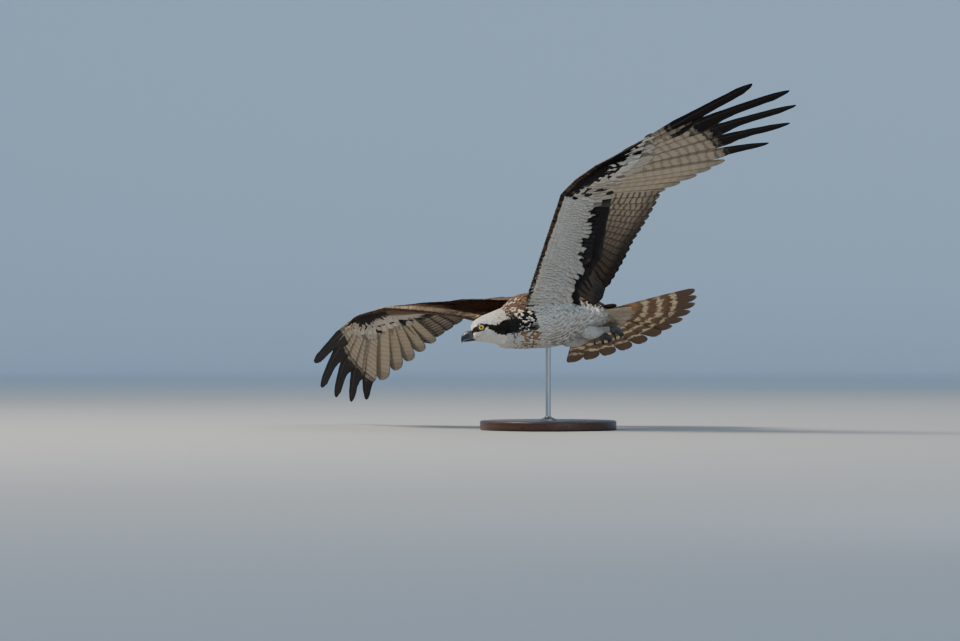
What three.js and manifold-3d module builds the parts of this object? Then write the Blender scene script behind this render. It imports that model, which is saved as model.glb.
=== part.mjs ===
// Osprey in flight, life size, held on a round stand. Millimetres, +Z up.
// The origin is the centre of the stand's underside. The bird flies towards -Y, its left wing
// is on +X, and the whole bird is banked to its right with the left wing raised.
import * as THREE from 'three';
import { mergeVertices } from 'three/addons/utils/BufferGeometryUtils.js';
import Module from 'manifold-3d';

const wasm = await Module();
wasm.setup();

// Driving dimensions
const GAP = 0.3; // clearance that parts which meet keep
const ROUNDING = 0.002; // grid that the points of fused pieces are rounded to
const BODY_HEIGHT = 205; // body centre above the floor
const BANK = 20.5; // degrees, left wing up
const NOSE_DOWN = 1; // degrees
const HUMERUS = 150;
const FOREARM = 195;
const HAND = 135;
const SHOULDER = [46, -75, 26]; // left shoulder joint, from the body centre
const TAIL_LENGTH = 208;
const TAIL_HALF_SPREAD = 54.5; // degrees
const TAIL_ROOT = [0, 122, 13];
const TAIL_ROOT_HALF = 14; // half the width of the row of tail feather roots
const TAIL_COUNT = 12;
const TAIL_DROOP = 12.5; // degrees
const TAIL_ROLL = -3.5;
const TAIL_TURN = -3.4;
const EYE_RADIUS = 9.5;
const EYE_AHEAD = 2.5; // eyeball centre, ahead of the head's middle, out from it and above it
const EYE_SIDE = 11.6;
const EYE_UP = -1.5;
const HEAD_PLACE = [-6, -190.5, -5]; // point midway between the eyes
const HEAD_TURN = 30; // degrees, to the bird's right
const HEAD_LEVEL = 10; // degrees of roll that take back part of the bank
const FOOT_BACK = 157; // ankles, back from the body centre
const FOOT_LOW = 23; // ankles, below the body centre
const FOOT_SIDE = 15;
const BASE_RADIUS = 130;
const BASE_HEIGHT = 18;
const BASE_EDGE = 5; // radius of its rounded rim
const ROD_RADIUS = 5;
const VANE_THICKNESS = 0.6;
const VANE_PITCH = 1; // from one vane to the next one over it, middle to middle
const VANE_TILT = 0.08; // slope of a vane across its shaft, which tiles a wing
const LEAST_STEP = 0.08;
const STACK_AT = 70; // distance along the shafts where the vanes' spread sets their stacking

// Angles of each wing in degrees: the first is turned from straight out towards the tail, the
// second is raised above the wing's own level.
const LEFT_WING = {
  side: 1,
  front: [29, -98, 17], // where the front line leaves the breast, outward, back and up
  arch: 0, // how far that line is arched upward along the arm
  humerus: [43.8, 32],
  forearm: [-57.2, 17.3],
  hand: [12.4, 12.2],
  primaryTurn: [70.9, 42.5, 13.8],
  primaryRise: [-3.8, -6.2, 2.9],
  secondaryTurn: [99.7, 127],
  secondaryRise: [-9, -17],
};
const RIGHT_WING = {
  side: -1,
  front: [29, -98, 7],
  arch: 6,
  humerus: [43.9, 26.2],
  forearm: [-58, 9.8],
  hand: [20.5, 12],
  primaryTurn: [64.3, 37.4, 25.6],
  primaryRise: [-11.6, -17.5, -2.9],
  secondaryTurn: [84, 118],
  secondaryRise: [6, -8],
};
const PRIMARY_LENGTHS = [220, 230, 244, 256, 268, 340, 374, 383, 368, 296];
const OUTERMOST_RISE = 2.5; // degrees that the outermost primary is raised above the row
const PRIMARY_ROOTS = [0, 0.08, 0.16, 0.24, 0.33, 0.42, 0.52, 0.64, 0.8, 0.97];
const SECONDARY_COUNT = 16;
const SECONDARY_LENGTHS = [214, 195, 200]; // next to the wrist, halfway, next to the elbow
const TERTIAL_LENGTH = 145; // innermost
const TERTIAL_COUNT = 4;

const rad = THREE.MathUtils.degToRad;
const vec = (x, y, z) => new THREE.Vector3(x, y, z);

// Solid tools

// A closed geometry from rings of points, each ring with the same number of points.
function loft(rings) {
  const count = rings[0].length;
  const points = rings.flat();
  const index = [];
  for (let i = 0; i + 1 < rings.length; i += 1) {
    for (let j = 0; j < count; j += 1) {
      const a = i * count + j;
      const b = i * count + ((j + 1) % count);
      index.push(a, b, b + count, a, b + count, a + count);
    }
  }
  const last = (rings.length - 1) * count;
  for (let j = 1; j + 1 < count; j += 1) {
    index.push(0, j + 1, j, last, last + j, last + j + 1);
  }
  const geometry = new THREE.BufferGeometry().setFromPoints(points);
  geometry.setIndex(index);
  return geometry;
}

function solid(geometry) {
  const plain = geometry.clone();
  plain.deleteAttribute('normal');
  plain.deleteAttribute('uv');
  const merged = mergeVertices(plain, 1e-4);
  const place = merged.attributes.position;
  const index = Array.from(merged.index.array);
  let volume = 0;
  const a = vec();
  const b = vec();
  const c = vec();
  for (let i = 0; i < index.length; i += 3) {
    a.fromBufferAttribute(place, index[i]);
    b.fromBufferAttribute(place, index[i + 1]);
    c.fromBufferAttribute(place, index[i + 2]);
    volume += a.dot(b.cross(c));
  }
  if (volume < 0) index.reverse();
  const mesh = new wasm.Mesh({
    numProp: 3,
    vertProperties: Float32Array.from(place.array),
    triVerts: Uint32Array.from(index),
  });
  return new wasm.Manifold(mesh);
}

function join(pieces) {
  return pieces.reduce((all, piece) => all.add(piece));
}

// Fused pieces keep only their largest closed surface, which also fills any sealed hollow.
// Points are first rounded to a fine grid, and slivers that this closes go.
function largest(body) {
  const rounded = geometryOf(body);
  const place = rounded.attributes.position;
  for (let i = 0; i < place.array.length; i += 1) {
    place.array[i] = Math.round(place.array[i] / ROUNDING) * ROUNDING;
  }
  const welded = mergeVertices(rounded, ROUNDING / 4);
  const corners = welded.index.array;
  const kept = [];
  for (let i = 0; i < corners.length; i += 3) {
    const [a, b, c] = corners.subarray(i, i + 3);
    if (a !== b && b !== c && c !== a) kept.push(a, b, c);
  }
  const mesh = new wasm.Mesh({
    numProp: 3,
    vertProperties: Float32Array.from(welded.attributes.position.array),
    triVerts: Uint32Array.from(kept),
  });
  const parts = new wasm.Manifold(mesh).decompose();
  return parts.reduce((best, part) => (part.volume() > best.volume() ? part : best));
}

function geometryOf(body) {
  const mesh = body.getMesh();
  const geometry = new THREE.BufferGeometry();
  geometry.setAttribute('position', new THREE.BufferAttribute(mesh.vertProperties, 3));
  geometry.setIndex(new THREE.BufferAttribute(mesh.triVerts, 1));
  return geometry;
}

// A huge block on one side of a plane, for cutting.
function halfSpace(point, normal) {
  const size = 3000;
  const block = new THREE.BoxGeometry(size, size, size);
  block.translate(0, 0, size / 2);
  block.applyQuaternion(new THREE.Quaternion().setFromUnitVectors(vec(0, 0, 1), normal));
  block.translate(point.x, point.y, point.z);
  return solid(block);
}

// An oval ring in the plane across an axis, taller above than below where asked.
function oval(centre, side, up, halfWidth, above, below, sides, swell = 1) {
  const ring = [];
  for (let i = 0; i < sides; i += 1) {
    const angle = (i / sides) * Math.PI * 2;
    const c = Math.cos(angle);
    const s = Math.sin(angle);
    const x = Math.sign(c) * Math.abs(c) ** swell * halfWidth;
    const z = s * (s > 0 ? above : below);
    ring.push(centre.clone().addScaledVector(side, x).addScaledVector(up, z));
  }
  return ring;
}

// A tapered tube of few sides along a smooth curve.
function taperTube(points, radii, sides, steps) {
  const curve = new THREE.CatmullRomCurve3(points);
  const frames = curve.computeFrenetFrames(steps, false);
  const rings = [];
  for (let i = 0; i <= steps; i += 1) {
    const t = i / steps;
    const at = t * (radii.length - 1);
    const k = Math.min(Math.floor(at), radii.length - 2);
    const radius = THREE.MathUtils.lerp(radii[k], radii[k + 1], at - k);
    rings.push(oval(curve.getPoint(t), frames.normals[i], frames.binormals[i],
      radius, radius, radius, sides));
  }
  return loft(rings);
}

// Turned frames

function headMatrix() {
  const turn = new THREE.Matrix4().makeRotationZ(-rad(HEAD_TURN));
  const roll = new THREE.Matrix4().makeRotationY(rad(HEAD_LEVEL));
  return new THREE.Matrix4().makeTranslation(...HEAD_PLACE).multiply(turn).multiply(roll);
}

// A point of the head: ahead of the eyes, to the left and above them.
function headPoint(ahead, left, up) {
  return vec(left, -ahead, up).applyMatrix4(headMatrix());
}

// Body: one skin from the tail to the head, parted by thin cuts

// Each row: distance back from the body centre, sideways and upward shift of the middle,
// half width, height above the middle and depth below it.
const TRUNK = [
  [198, 0, -4, 14, 7, 7],
  [165, 0, 3, 28, 25, 14],
  [128, 0, 5, 36, 40, 25],
  [95, 0, 4, 41, 44, 35],
  [55, 0, 2, 48, 49, 42],
  [10, 0, 0, 53, 54, 47],
  [-35, 0, -1, 54, 58, 47],
  [-72, 0, -2, 52, 57, 47],
  [-100, -1, -3, 46, 44, 45],
  [-128, -2, -4, 38, 31, 43],
];
// Each row: distance ahead of the eyes, half width, top and bottom, in the head's own frame.
const HEAD_ROWS = [
  [-44, 33, 27, -44],
  [-32, 29, 24.5, -39],
  [-20, 26, 22.5, -34.5],
  [-10, 23.5, 20.5, -31],
  [0, 20, 17.6, -27.5],
  [8, 17.4, 14.6, -25],
  [14, 14.4, 9.5, -23.6],
  [19.7, 10.4, -0.6, -22.6],
];
const HEAD_SIDES = 20;

function bodyRings(grow) {
  const rows = TRUNK.map(([back, shift, lift, width, above, below]) => oval(vec(shift, back, lift),
    vec(1, 0, 0), vec(0, 0, 1), width + grow, above + grow, below + grow, HEAD_SIDES));
  return rows;
}

function headRings(grow) {
  return HEAD_ROWS.map(([ahead, width, top, bottom]) => {
    const middle = (top + bottom) / 2;
    const half = (top - bottom) / 2 + grow;
    return oval(vec(0, -ahead, middle), vec(1, 0, 0), vec(0, 0, 1), width + grow, half, half,
      HEAD_SIDES).map((point) => point.applyMatrix4(headMatrix()));
  });
}

function wholeSkin(grow = 0) {
  return solid(loft([...bodyRings(grow), ...headRings(grow)]));
}

const skin = wholeSkin();
const skinClear = wholeSkin(GAP);
const NECK_BACK = vec(0, -92, 0); // planes that part the torso from the neck and the tail
const NECK_BACK_FACING = vec(0, -1, 0);
const RUMP = vec(0, 131, 0);
const RUMP_FACING = vec(0, 1, 0);
const NECK_FRONT = headPoint(-24, 0, 0);
const NECK_FRONT_FACING = headPoint(-23, 0, 0).sub(headPoint(-24, 0, 0)).normalize();

function shifted(point, facing, distance) {
  return point.clone().addScaledVector(facing, distance);
}

function torso() {
  return largest(skin.subtract(halfSpace(NECK_BACK, NECK_BACK_FACING))
    .subtract(halfSpace(RUMP, RUMP_FACING)));
}

function neck() {
  const start = halfSpace(shifted(NECK_BACK, NECK_BACK_FACING, GAP), NECK_BACK_FACING);
  const end = halfSpace(NECK_FRONT, NECK_FRONT_FACING);
  return largest(skin.intersect(start).subtract(end));
}

// Head

function eyeCentre(side) {
  return headPoint(EYE_AHEAD, side * EYE_SIDE, EYE_UP);
}

function eyeball(side, radius) {
  const ball = new THREE.SphereGeometry(radius, 13, 9);
  const centre = eyeCentre(side);
  ball.translate(centre.x, centre.y, centre.z);
  return solid(ball);
}

const LID_FORWARD = 16; // degrees that the lids face forward
const LID_OUT = 6.5; // middle of the lids' rim, out from the eyeball's centre and ahead of it
const LID_AHEAD = 1.2;

function lidRing(side) {
  const ring = new THREE.TorusGeometry(7.4, 1.7, 5, 16);
  ring.scale(1.08, 0.96, 1);
  ring.rotateY(Math.PI / 2);
  ring.rotateZ(-side * rad(LID_FORWARD));
  ring.translate(side * (EYE_SIDE + LID_OUT), -EYE_AHEAD - LID_AHEAD, EYE_UP);
  ring.applyMatrix4(headMatrix());
  return solid(ring);
}

function browRidge(side) {
  const path = [headPoint(16, side * 12, 3.8), headPoint(8, side * 16.8, 7),
    headPoint(-2, side * 18.8, 7.4), headPoint(-12, side * 19.5, 5.5)];
  return solid(taperTube(path, [1.2, 2.4, 2.4, 1], 6, 6));
}

function mouthGroove(side) {
  const slot = new THREE.BoxGeometry(6, 14, 0.9);
  slot.rotateX(rad(-4));
  slot.translate(side * 16.5, -16, -16.6);
  slot.applyMatrix4(headMatrix());
  return solid(slot);
}

function head() {
  let body = skin.intersect(halfSpace(shifted(NECK_FRONT, NECK_FRONT_FACING, GAP),
    NECK_FRONT_FACING));
  for (const side of [1, -1]) {
    body = body.add(lidRing(side)).add(browRidge(side));
  }
  for (const side of [1, -1]) {
    body = body.subtract(eyeball(side, EYE_RADIUS + GAP)).subtract(mouthGroove(side));
  }
  return largest(body);
}

// Upper bill: each row gives a point of the ridge, a point of the cutting edge and a half width.
const UPPER_BILL = [
  [20, -2.2, 20, -17.6, 8.4],
  [26, -1.8, 25.5, -17.2, 8],
  [30.5, -2.8, 29.5, -17, 7],
  [35.5, -5, 33, -17, 5.8],
  [39.5, -8.8, 36.4, -17.6, 4.4],
  [41.8, -13.4, 39, -18.8, 3],
  [42.6, -18, 40.8, -20.4, 1.7],
  [42, -22.4, 41.6, -22.6, 0.35],
];

function billRing(ridgeAhead, ridgeUp, edgeAhead, edgeUp, width) {
  const ridge = vec(0, -ridgeAhead, ridgeUp);
  const edge = vec(0, -edgeAhead, edgeUp);
  const down = edge.clone().sub(ridge);
  const shape = [[0, 0], [0.5, 0.1], [0.86, 0.38], [1, 0.7], [0.94, 1], [0.4, 0.97]];
  const ring = shape.map(([x, t]) => ridge.clone().addScaledVector(down, t).setX(x * width));
  const other = shape.slice(1).reverse().map(([x, t]) => ridge.clone()
    .addScaledVector(down, t).setX(-x * width));
  return [...ring, ...other].map((point) => point.applyMatrix4(headMatrix()));
}

function nostril(side) {
  const slit = new THREE.SphereGeometry(1, 8, 6);
  slit.scale(1.6, 2.4, 1);
  slit.rotateX(rad(28));
  slit.translate(side * 7.2, -27, -7.6);
  slit.applyMatrix4(headMatrix());
  return solid(slit);
}

function upperBill() {
  let bill = solid(loft(UPPER_BILL.map((row) => billRing(...row))));
  for (const side of [1, -1]) bill = bill.subtract(nostril(side));
  return largest(bill);
}

// Lower bill: distance ahead, half width, top and bottom.
const LOWER_BILL = [
  [20, 7.8, -18.1, -22.2],
  [27, 6.4, -17.7, -21.8],
  [33, 4.7, -17.7, -21.2],
  [36.6, 3, -18.3, -20.6],
  [38.2, 1, -19.4, -20.2],
];

function lowerBill() {
  return solid(loft(LOWER_BILL.map(([ahead, width, top, bottom]) => {
    const half = (top - bottom) / 2;
    return oval(vec(0, -ahead, (top + bottom) / 2), vec(1, 0, 0), vec(0, 0, 1), width, half, half,
      10, 0.7).map((point) => point.applyMatrix4(headMatrix()));
  })));
}

// Wings

function direction(side, [turn, rise]) {
  const flat = Math.cos(rad(rise));
  return vec(side * flat * Math.cos(rad(turn)), flat * Math.sin(rad(turn)), Math.sin(rad(rise)));
}

function wingBones(wing) {
  const shoulder = vec(wing.side * SHOULDER[0], SHOULDER[1], SHOULDER[2]);
  const elbow = shifted(shoulder, direction(wing.side, wing.humerus), HUMERUS);
  const wrist = shifted(elbow, direction(wing.side, wing.forearm), FOREARM);
  const tip = shifted(wrist, direction(wing.side, wing.hand), HAND);
  return { shoulder, elbow, wrist, tip };
}

// Linear steps through three or more keys, t from 0 to 1.
function through(keys, t) {
  const at = t * (keys.length - 1);
  const k = Math.min(Math.floor(at), keys.length - 2);
  return THREE.MathUtils.lerp(keys[k], keys[k + 1], at - k);
}

// The shafts of one wing from the body outwards, each with its root, direction and length.
function wingShafts(wing) {
  const bones = wingBones(wing);
  const shafts = [];
  const innerTurn = wing.secondaryTurn[1];
  const innerRise = wing.secondaryRise[1];
  for (let i = TERTIAL_COUNT; i > 0; i -= 1) {
    const t = i / (TERTIAL_COUNT + 1);
    const angles = [innerTurn - 26 * t, innerRise + 4 * t];
    shafts.push({
      group: 'tertial',
      root: bones.elbow.clone().lerp(bones.shoulder, t * 0.62),
      along: direction(wing.side, angles),
      length: THREE.MathUtils.lerp(SECONDARY_LENGTHS[2], TERTIAL_LENGTH, t),
    });
  }
  for (let i = SECONDARY_COUNT - 1; i >= 0; i -= 1) {
    const t = i / (SECONDARY_COUNT - 1);
    const turn = through([wing.primaryTurn[0], ...wing.secondaryTurn], t);
    const rise = through([wing.primaryRise[0], ...wing.secondaryRise], t);
    shafts.push({
      group: 'secondary',
      root: bones.wrist.clone().lerp(bones.elbow, t),
      along: direction(wing.side, [turn, rise]),
      length: through(SECONDARY_LENGTHS, t),
    });
  }
  for (let i = 0; i < PRIMARY_LENGTHS.length; i += 1) {
    const t = i / (PRIMARY_LENGTHS.length - 1);
    const rise = through(wing.primaryRise, t) + (t === 1 ? OUTERMOST_RISE : 0);
    shafts.push({
      group: 'primary',
      root: bones.wrist.clone().lerp(bones.tip, PRIMARY_ROOTS[i]),
      along: direction(wing.side, [through(wing.primaryTurn, t), rise]),
      length: PRIMARY_LENGTHS[i],
    });
  }
  setAcross(shafts, wing.side);
  setLifts(shafts);
  return shafts;
}

// Each shaft's outward direction within the wing's surface, and the surface's upward normal.
function setAcross(shafts, side) {
  const far = shafts.map((shaft) => shifted(shaft.root, shaft.along, shaft.length * 0.6));
  shafts.forEach((shaft, i) => {
    const before = far[Math.max(i - 1, 0)];
    const after = far[Math.min(i + 1, far.length - 1)];
    const out = after.clone().sub(before);
    out.addScaledVector(shaft.along, -out.dot(shaft.along)).normalize();
    shaft.normal = out.clone().cross(shaft.along).multiplyScalar(side).normalize();
    shaft.across = out;
  });
}

// Outlines of the vanes: place along the shaft, reach of the outer edge and of the inner edge.
const SECONDARY_VANE = [[0.02, 3, 3], [0.22, 9, 14], [0.5, 11, 19], [0.86, 11, 20], [0.96, 9, 15],
  [1, 4, 6]];
const INNER_PRIMARY_VANE = [[0.02, 3, 3], [0.2, 7, 12], [0.5, 9, 19], [0.86, 9, 19],
  [0.96, 6, 12], [1, 2, 4]];
const COVERT_VANE = [[0, 9, 9], [0.75, 14, 15], [1, 6, 7]];
// The outer primaries are broad to a notch and then narrow, which parts them into fingers. The
// notch lies at these shares of their length, from the innermost finger outwards.
const FINGER_NOTCHES = [0.78, 0.74, 0.68, 0.62, 0.55];
const FINGER_BOWS = [8, 10, 11, 10, 2]; // how far each curves forward at its middle
const FINGER_COUNT = FINGER_NOTCHES.length;

function fingerVane(notch) {
  return [[0.02, 2.5, 3], [0.18, 6, 14], [notch - 0.12, 9.5, 25], [notch, 8.5, 16],
    [notch + 0.07, 7.8, 12.5], [0.91, 6.6, 10.5], [0.96, 4.4, 7], [1, 1.5, 2]];
}

// A thin blade about a shaft, raised above the surface by the lift and bowed within it.
function vane(shaft, outline, lift, from = 0, reach = 1, bow = 0) {
  const half = VANE_THICKNESS / 2;
  return solid(loft(outline.map(([t, outer, inner]) => {
    const at = shifted(shaft.root, shaft.along, shaft.length * (from + t * (reach - from)));
    const middle = bow * Math.sin(Math.PI * t);
    const edge = (out, up) => shifted(shifted(at, shaft.across, middle + out), shaft.normal,
      lift + (middle + out) * VANE_TILT + up);
    return [edge(outer, half), edge(-inner, half), edge(-inner, -half), edge(outer, -half)];
  })));
}

// Where shafts crowd together their vanes are stacked, each above the next one outwards.
function setLifts(shafts) {
  const wrist = shafts.findIndex((shaft) => shaft.group === 'primary');
  const step = (i) => {
    const near = shifted(shafts[i].root, shafts[i].along, STACK_AT);
    const next = shifted(shafts[i + 1].root, shafts[i + 1].along, STACK_AT);
    const spread = next.sub(near).dot(shafts[i].across);
    return Math.max(LEAST_STEP, VANE_PITCH - Math.max(spread, 0) * VANE_TILT);
  };
  shafts[wrist].lift = 0;
  for (let i = wrist - 1; i >= 0; i -= 1) shafts[i].lift = shafts[i + 1].lift + step(i);
  for (let i = wrist; i + 1 < shafts.length; i += 1) {
    shafts[i + 1].lift = shafts[i].lift - step(i);
  }
}

const COVERT_LIFT = { over: 3.4, under: -4.4 };
const COVERT_START = 0.16; // share of the flight feather's length where its coverts begin
const ARM_COVERT_REACH = 0.52;
const HAND_COVERT_REACH = 0.4; // of the innermost primary; each next one's is a little less
const HAND_COVERT_STEP = 0.012;
const UNDER_COVERT_SHORTER = 0.04;

// All the vanes of a wing's arm or hand: flight feathers, then a tier of coverts on both faces,
// over every second feather.
function wingVanes(shafts, onHand) {
  const some = shafts.filter((shaft) => (shaft.group === 'primary') === onHand);
  const pieces = [];
  some.forEach((shaft, i) => {
    const finger = onHand && i >= some.length - FINGER_COUNT;
    if (finger) {
      const k = i - some.length + FINGER_COUNT;
      pieces.push(vane(shaft, fingerVane(FINGER_NOTCHES[k]), shaft.lift, 0, 1, FINGER_BOWS[k]));
    } else {
      pieces.push(vane(shaft, onHand ? INNER_PRIMARY_VANE : SECONDARY_VANE, shaft.lift));
    }
    if (i % 2 === (onHand ? 0 : 1)) return;
    const reach = onHand ? HAND_COVERT_REACH - HAND_COVERT_STEP * i : ARM_COVERT_REACH;
    pieces.push(vane(shaft, COVERT_VANE, shaft.lift + COVERT_LIFT.over, COVERT_START, reach));
    pieces.push(vane(shaft, COVERT_VANE, shaft.lift + COVERT_LIFT.under, COVERT_START,
      reach - UNDER_COVERT_SHORTER));
  });
  return join(pieces);
}

// Fleshy part of a wing. Its front line runs from the breast over the wrist to the hand's end,
// bowed forward along the hand and arched upward along the arm. Each row below gives a share of
// that line, the shaft whose row it is, the share of that shaft's length that the flesh reaches
// back to, and half the thickness.
const HAND_BOW = 17;
const WRIST_FRONT = 16; // flesh ahead of the wrist joint
const ARM_ROWS = [[0.22, 'tertial', 0, 0.34, 13], [0.45, 'tertial', 1, 0.33, 11],
  [0.62, 'secondary', 0.25, 0.3, 10], [0.8, 'secondary', 0.6, 0.31, 10],
  [0.93, 'secondary', 0.85, 0.32, 9]];
const HAND_ROWS = [[0, 'primary', 0, 0.32, 7.5], [0.3, 'primary', 0.35, 0.27, 6],
  [0.65, 'primary', 0.7, 0.2, 5], [1, 'primary', 1, 0.17, 3.6]];

function wingSections(wing) {
  const { wrist, tip } = wingBones(wing);
  const side = wing.side;
  const shafts = wingShafts(wing);
  const pick = (group, t) => {
    const some = shafts.filter((shaft) => shaft.group === group);
    return some[Math.round(t * (some.length - 1))];
  };
  const up = pick('secondary', 0.5).normal;
  const front = vec(side * wing.front[0], wing.front[1], wing.front[2]);
  const edge = shifted(wrist, direction(side, [-75, 0]), WRIST_FRONT);
  const tipFront = shifted(tip, direction(side, [-80, 0]), 5);
  const ahead = tipFront.clone().sub(edge).cross(up).multiplyScalar(side).normalize();
  const rows = [
    [vec(side * 8, -92, 6), vec(side * 8, 70, 14), 17],
    [front, vec(side * 36, 62, 30), 12],
  ];
  const addRow = (point, [t, group, at, reach, half], bow, towards) => {
    const shaft = pick(group, at);
    rows.push([shifted(point, towards, bow * Math.sin(Math.PI * t)),
      shifted(shaft.root, shaft.along, shaft.length * reach), half]);
  };
  for (const row of ARM_ROWS) addRow(front.clone().lerp(edge, row[0]), row, wing.arch, up);
  for (const row of HAND_ROWS) addRow(edge.clone().lerp(tipFront, row[0]), row, HAND_BOW, ahead);
  const last = shafts[shafts.length - 1];
  rows.push([shifted(tipFront, last.along, 62), shifted(last.root, last.along, 74), 2]);
  return { rows, up };
}

// Rounded front, thickest a quarter of the way back, thin at the rear edge.
const SECTION_SHAPE = [[0, 0], [0.06, 0.55], [0.25, 1], [0.62, 0.82], [1, 0.42]];

function wingCore(wing) {
  const { rows, up } = wingSections(wing);
  const rings = rows.map(([front, back, half]) => {
    const chord = back.clone().sub(front);
    const normal = up.clone().addScaledVector(chord, -up.dot(chord) / chord.lengthSq()).normalize();
    const top = SECTION_SHAPE.map(([t, h]) => shifted(front.clone().addScaledVector(chord, t),
      normal, h * half));
    const bottom = SECTION_SHAPE.slice(1).reverse().map(([t, h]) => shifted(front.clone()
      .addScaledVector(chord, t), normal, -h * half));
    return [...top, ...bottom];
  });
  return solid(loft(rings));
}

// The cut between arm and hand runs back from the wrist, between two shafts.
function wristCut(wing) {
  const shafts = wingShafts(wing);
  const at = shafts.findIndex((shaft) => shaft.group === 'primary');
  const first = shafts[at];
  const before = shafts[at - 1];
  const along = first.along.clone().add(before.along).normalize();
  const normal = first.normal.clone().add(before.normal).normalize();
  const facing = along.clone().cross(normal).multiplyScalar(wing.side).normalize();
  return { point: wingBones(wing).wrist, facing: facing.negate() };
}

function wings(wing) {
  const shafts = wingShafts(wing);
  const core = wingCore(wing);
  const { point, facing } = wristCut(wing);
  const outward = facing.dot(wingBones(wing).tip.clone().sub(point)) > 0 ? 1 : -1;
  const out = facing.clone().multiplyScalar(outward);
  const arm = core.add(wingVanes(shafts, false)).subtract(skinClear);
  const hand = core.add(wingVanes(shafts, true));
  return {
    arm: largest(arm.subtract(halfSpace(point, out))),
    hand: largest(hand.intersect(halfSpace(shifted(point, out, GAP), out))),
  };
}

// Tail

function tailShafts() {
  const shafts = [];
  const turn = new THREE.Matrix4().makeRotationFromEuler(
    new THREE.Euler(rad(-TAIL_DROOP), rad(TAIL_ROLL), rad(TAIL_TURN), 'ZXY'));
  const normal = vec(0, 0, 1).transformDirection(turn);
  for (let i = 0; i < TAIL_COUNT; i += 1) {
    const x = (2 * i) / (TAIL_COUNT - 1) - 1;
    const side = Math.sign(x);
    const angle = rad(x * TAIL_HALF_SPREAD);
    const along = vec(Math.sin(angle), Math.cos(angle), 0).transformDirection(turn);
    const pair = Math.floor(Math.abs(i + 0.5 - TAIL_COUNT / 2));
    const below = pair > 0 ? pair + 1 : (1 - side) / 2;
    shafts.push({
      root: vec(TAIL_ROOT[0] + TAIL_ROOT_HALF * x, TAIL_ROOT[1], TAIL_ROOT[2]),
      along,
      length: TAIL_LENGTH * (1 - 0.03 * x * x),
      normal,
      across: along.clone().cross(normal).multiplyScalar(side),
      below,
      pair,
      spread: Math.abs(angle),
    });
  }
  return shafts;
}

// Flat blades in a stack, the middle pair on top; none but that pair passes the middle line.
function tailVane(shaft, outline, lift, from = 0, reach = 1) {
  const half = VANE_THICKNESS / 2;
  const middle = TAIL_ROOT_HALF * (2 * shaft.pair + 1) / (TAIL_COUNT - 1);
  return solid(loft(outline.map(([t, outer, inner]) => {
    const r = shaft.length * (from + t * (reach - from));
    const room = shaft.pair > 0 ? middle + r * Math.sin(shaft.spread) - GAP : inner;
    const at = shifted(shaft.root, shaft.along, r);
    const edge = (out, up) => shifted(shifted(at, shaft.across, out), shaft.normal, lift + up);
    const into = Math.min(inner, room);
    return [edge(outer, half), edge(-into, half), edge(-into, -half), edge(outer, -half)];
  })));
}

const TAIL_VANE = [[0.02, 3, 3], [0.3, 8, 13], [0.6, 10, 20], [0.9, 11, 23], [0.97, 9, 17],
  [1, 4, 7]];
const TAIL_COVERT = [[0, 5, 5], [0.75, 9, 11], [1, 4, 5]];
const TAIL_LIFT = 3; // of the top feather
const TAIL_COVERT_START = 0.1;
const TAIL_COVERTS = [{ lift: 4.2, stacked: 1, reach: 0.36 }, { lift: -5.2, stacked: -1, reach: 0.42 }];

function tail() {
  const pieces = [skin];
  for (const shaft of tailShafts()) {
    pieces.push(tailVane(shaft, TAIL_VANE, TAIL_LIFT - shaft.below * VANE_PITCH));
    const rank = TAIL_COUNT / 2 - shaft.below;
    for (const { lift, stacked, reach } of TAIL_COVERTS) {
      pieces.push(tailVane(shaft, TAIL_COVERT, lift + stacked * rank * VANE_PITCH,
        TAIL_COVERT_START, reach));
    }
  }
  const behind = halfSpace(shifted(RUMP, RUMP_FACING, GAP), RUMP_FACING);
  return largest(join(pieces).intersect(behind));
}

// Legs and feet

function ankle(side) {
  return vec(side * FOOT_SIDE, FOOT_BACK, -FOOT_LOW);
}

function leg(side) {
  const end = ankle(side);
  const thigh = solid(taperTube([vec(side * 25, 60, -27), vec(side * 21, 94, -31),
    end.clone().add(vec(side, -22, -1))], [14, 13, 6], 10, 5));
  const shank = solid(taperTube([end.clone().add(vec(side * 1.5, -30, -1.5)),
    end.clone().add(vec(0, 4, 0))], [5.5, 5], 8, 2));
  return largest(thigh.add(shank).subtract(skinClear).subtract(halfSpace(end, vec(0, 1, 0))));
}

// A curled toe with its hooked claw: it leaves the ball of the foot and bends down and in.
function toe(side, spread, length) {
  const start = ankle(side).add(vec(0, 2, 0));
  const heading = vec(side * Math.sin(rad(spread)), Math.cos(rad(spread)), -0.1).normalize();
  const middle = shifted(start, heading, length * 0.65).add(vec(0, 0, -1));
  const end = shifted(start, heading, length).add(vec(0, 0, -8));
  const bend = shifted(end, heading, 2).add(vec(0, 0, -6));
  const tip = shifted(end, heading, -6).add(vec(0, 0, -11));
  return solid(taperTube([start, middle, end], [4.6, 4.2, 3.2], 7, 4))
    .add(solid(taperTube([shifted(end, heading, -1).add(vec(0, 0, 1)), bend, tip],
      [2.9, 2, 0.5], 6, 4)));
}

// Each toe: degrees out from straight back, and length.
const TOES = [[-28, 17], [2, 21], [34, 18], [128, 12]];

function foot(side) {
  const ball = new THREE.SphereGeometry(6.5, 10, 8);
  const centre = ankle(side).add(vec(0, 5, 0));
  ball.translate(centre.x, centre.y, centre.z);
  const toes = TOES.map(([spread, length]) => toe(side, spread, length));
  const behind = halfSpace(shifted(ankle(side), vec(0, 1, 0), GAP), vec(0, 1, 0));
  return largest(join([solid(ball), ...toes]).intersect(behind).subtract(skinClear));
}

// Stand

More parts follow.
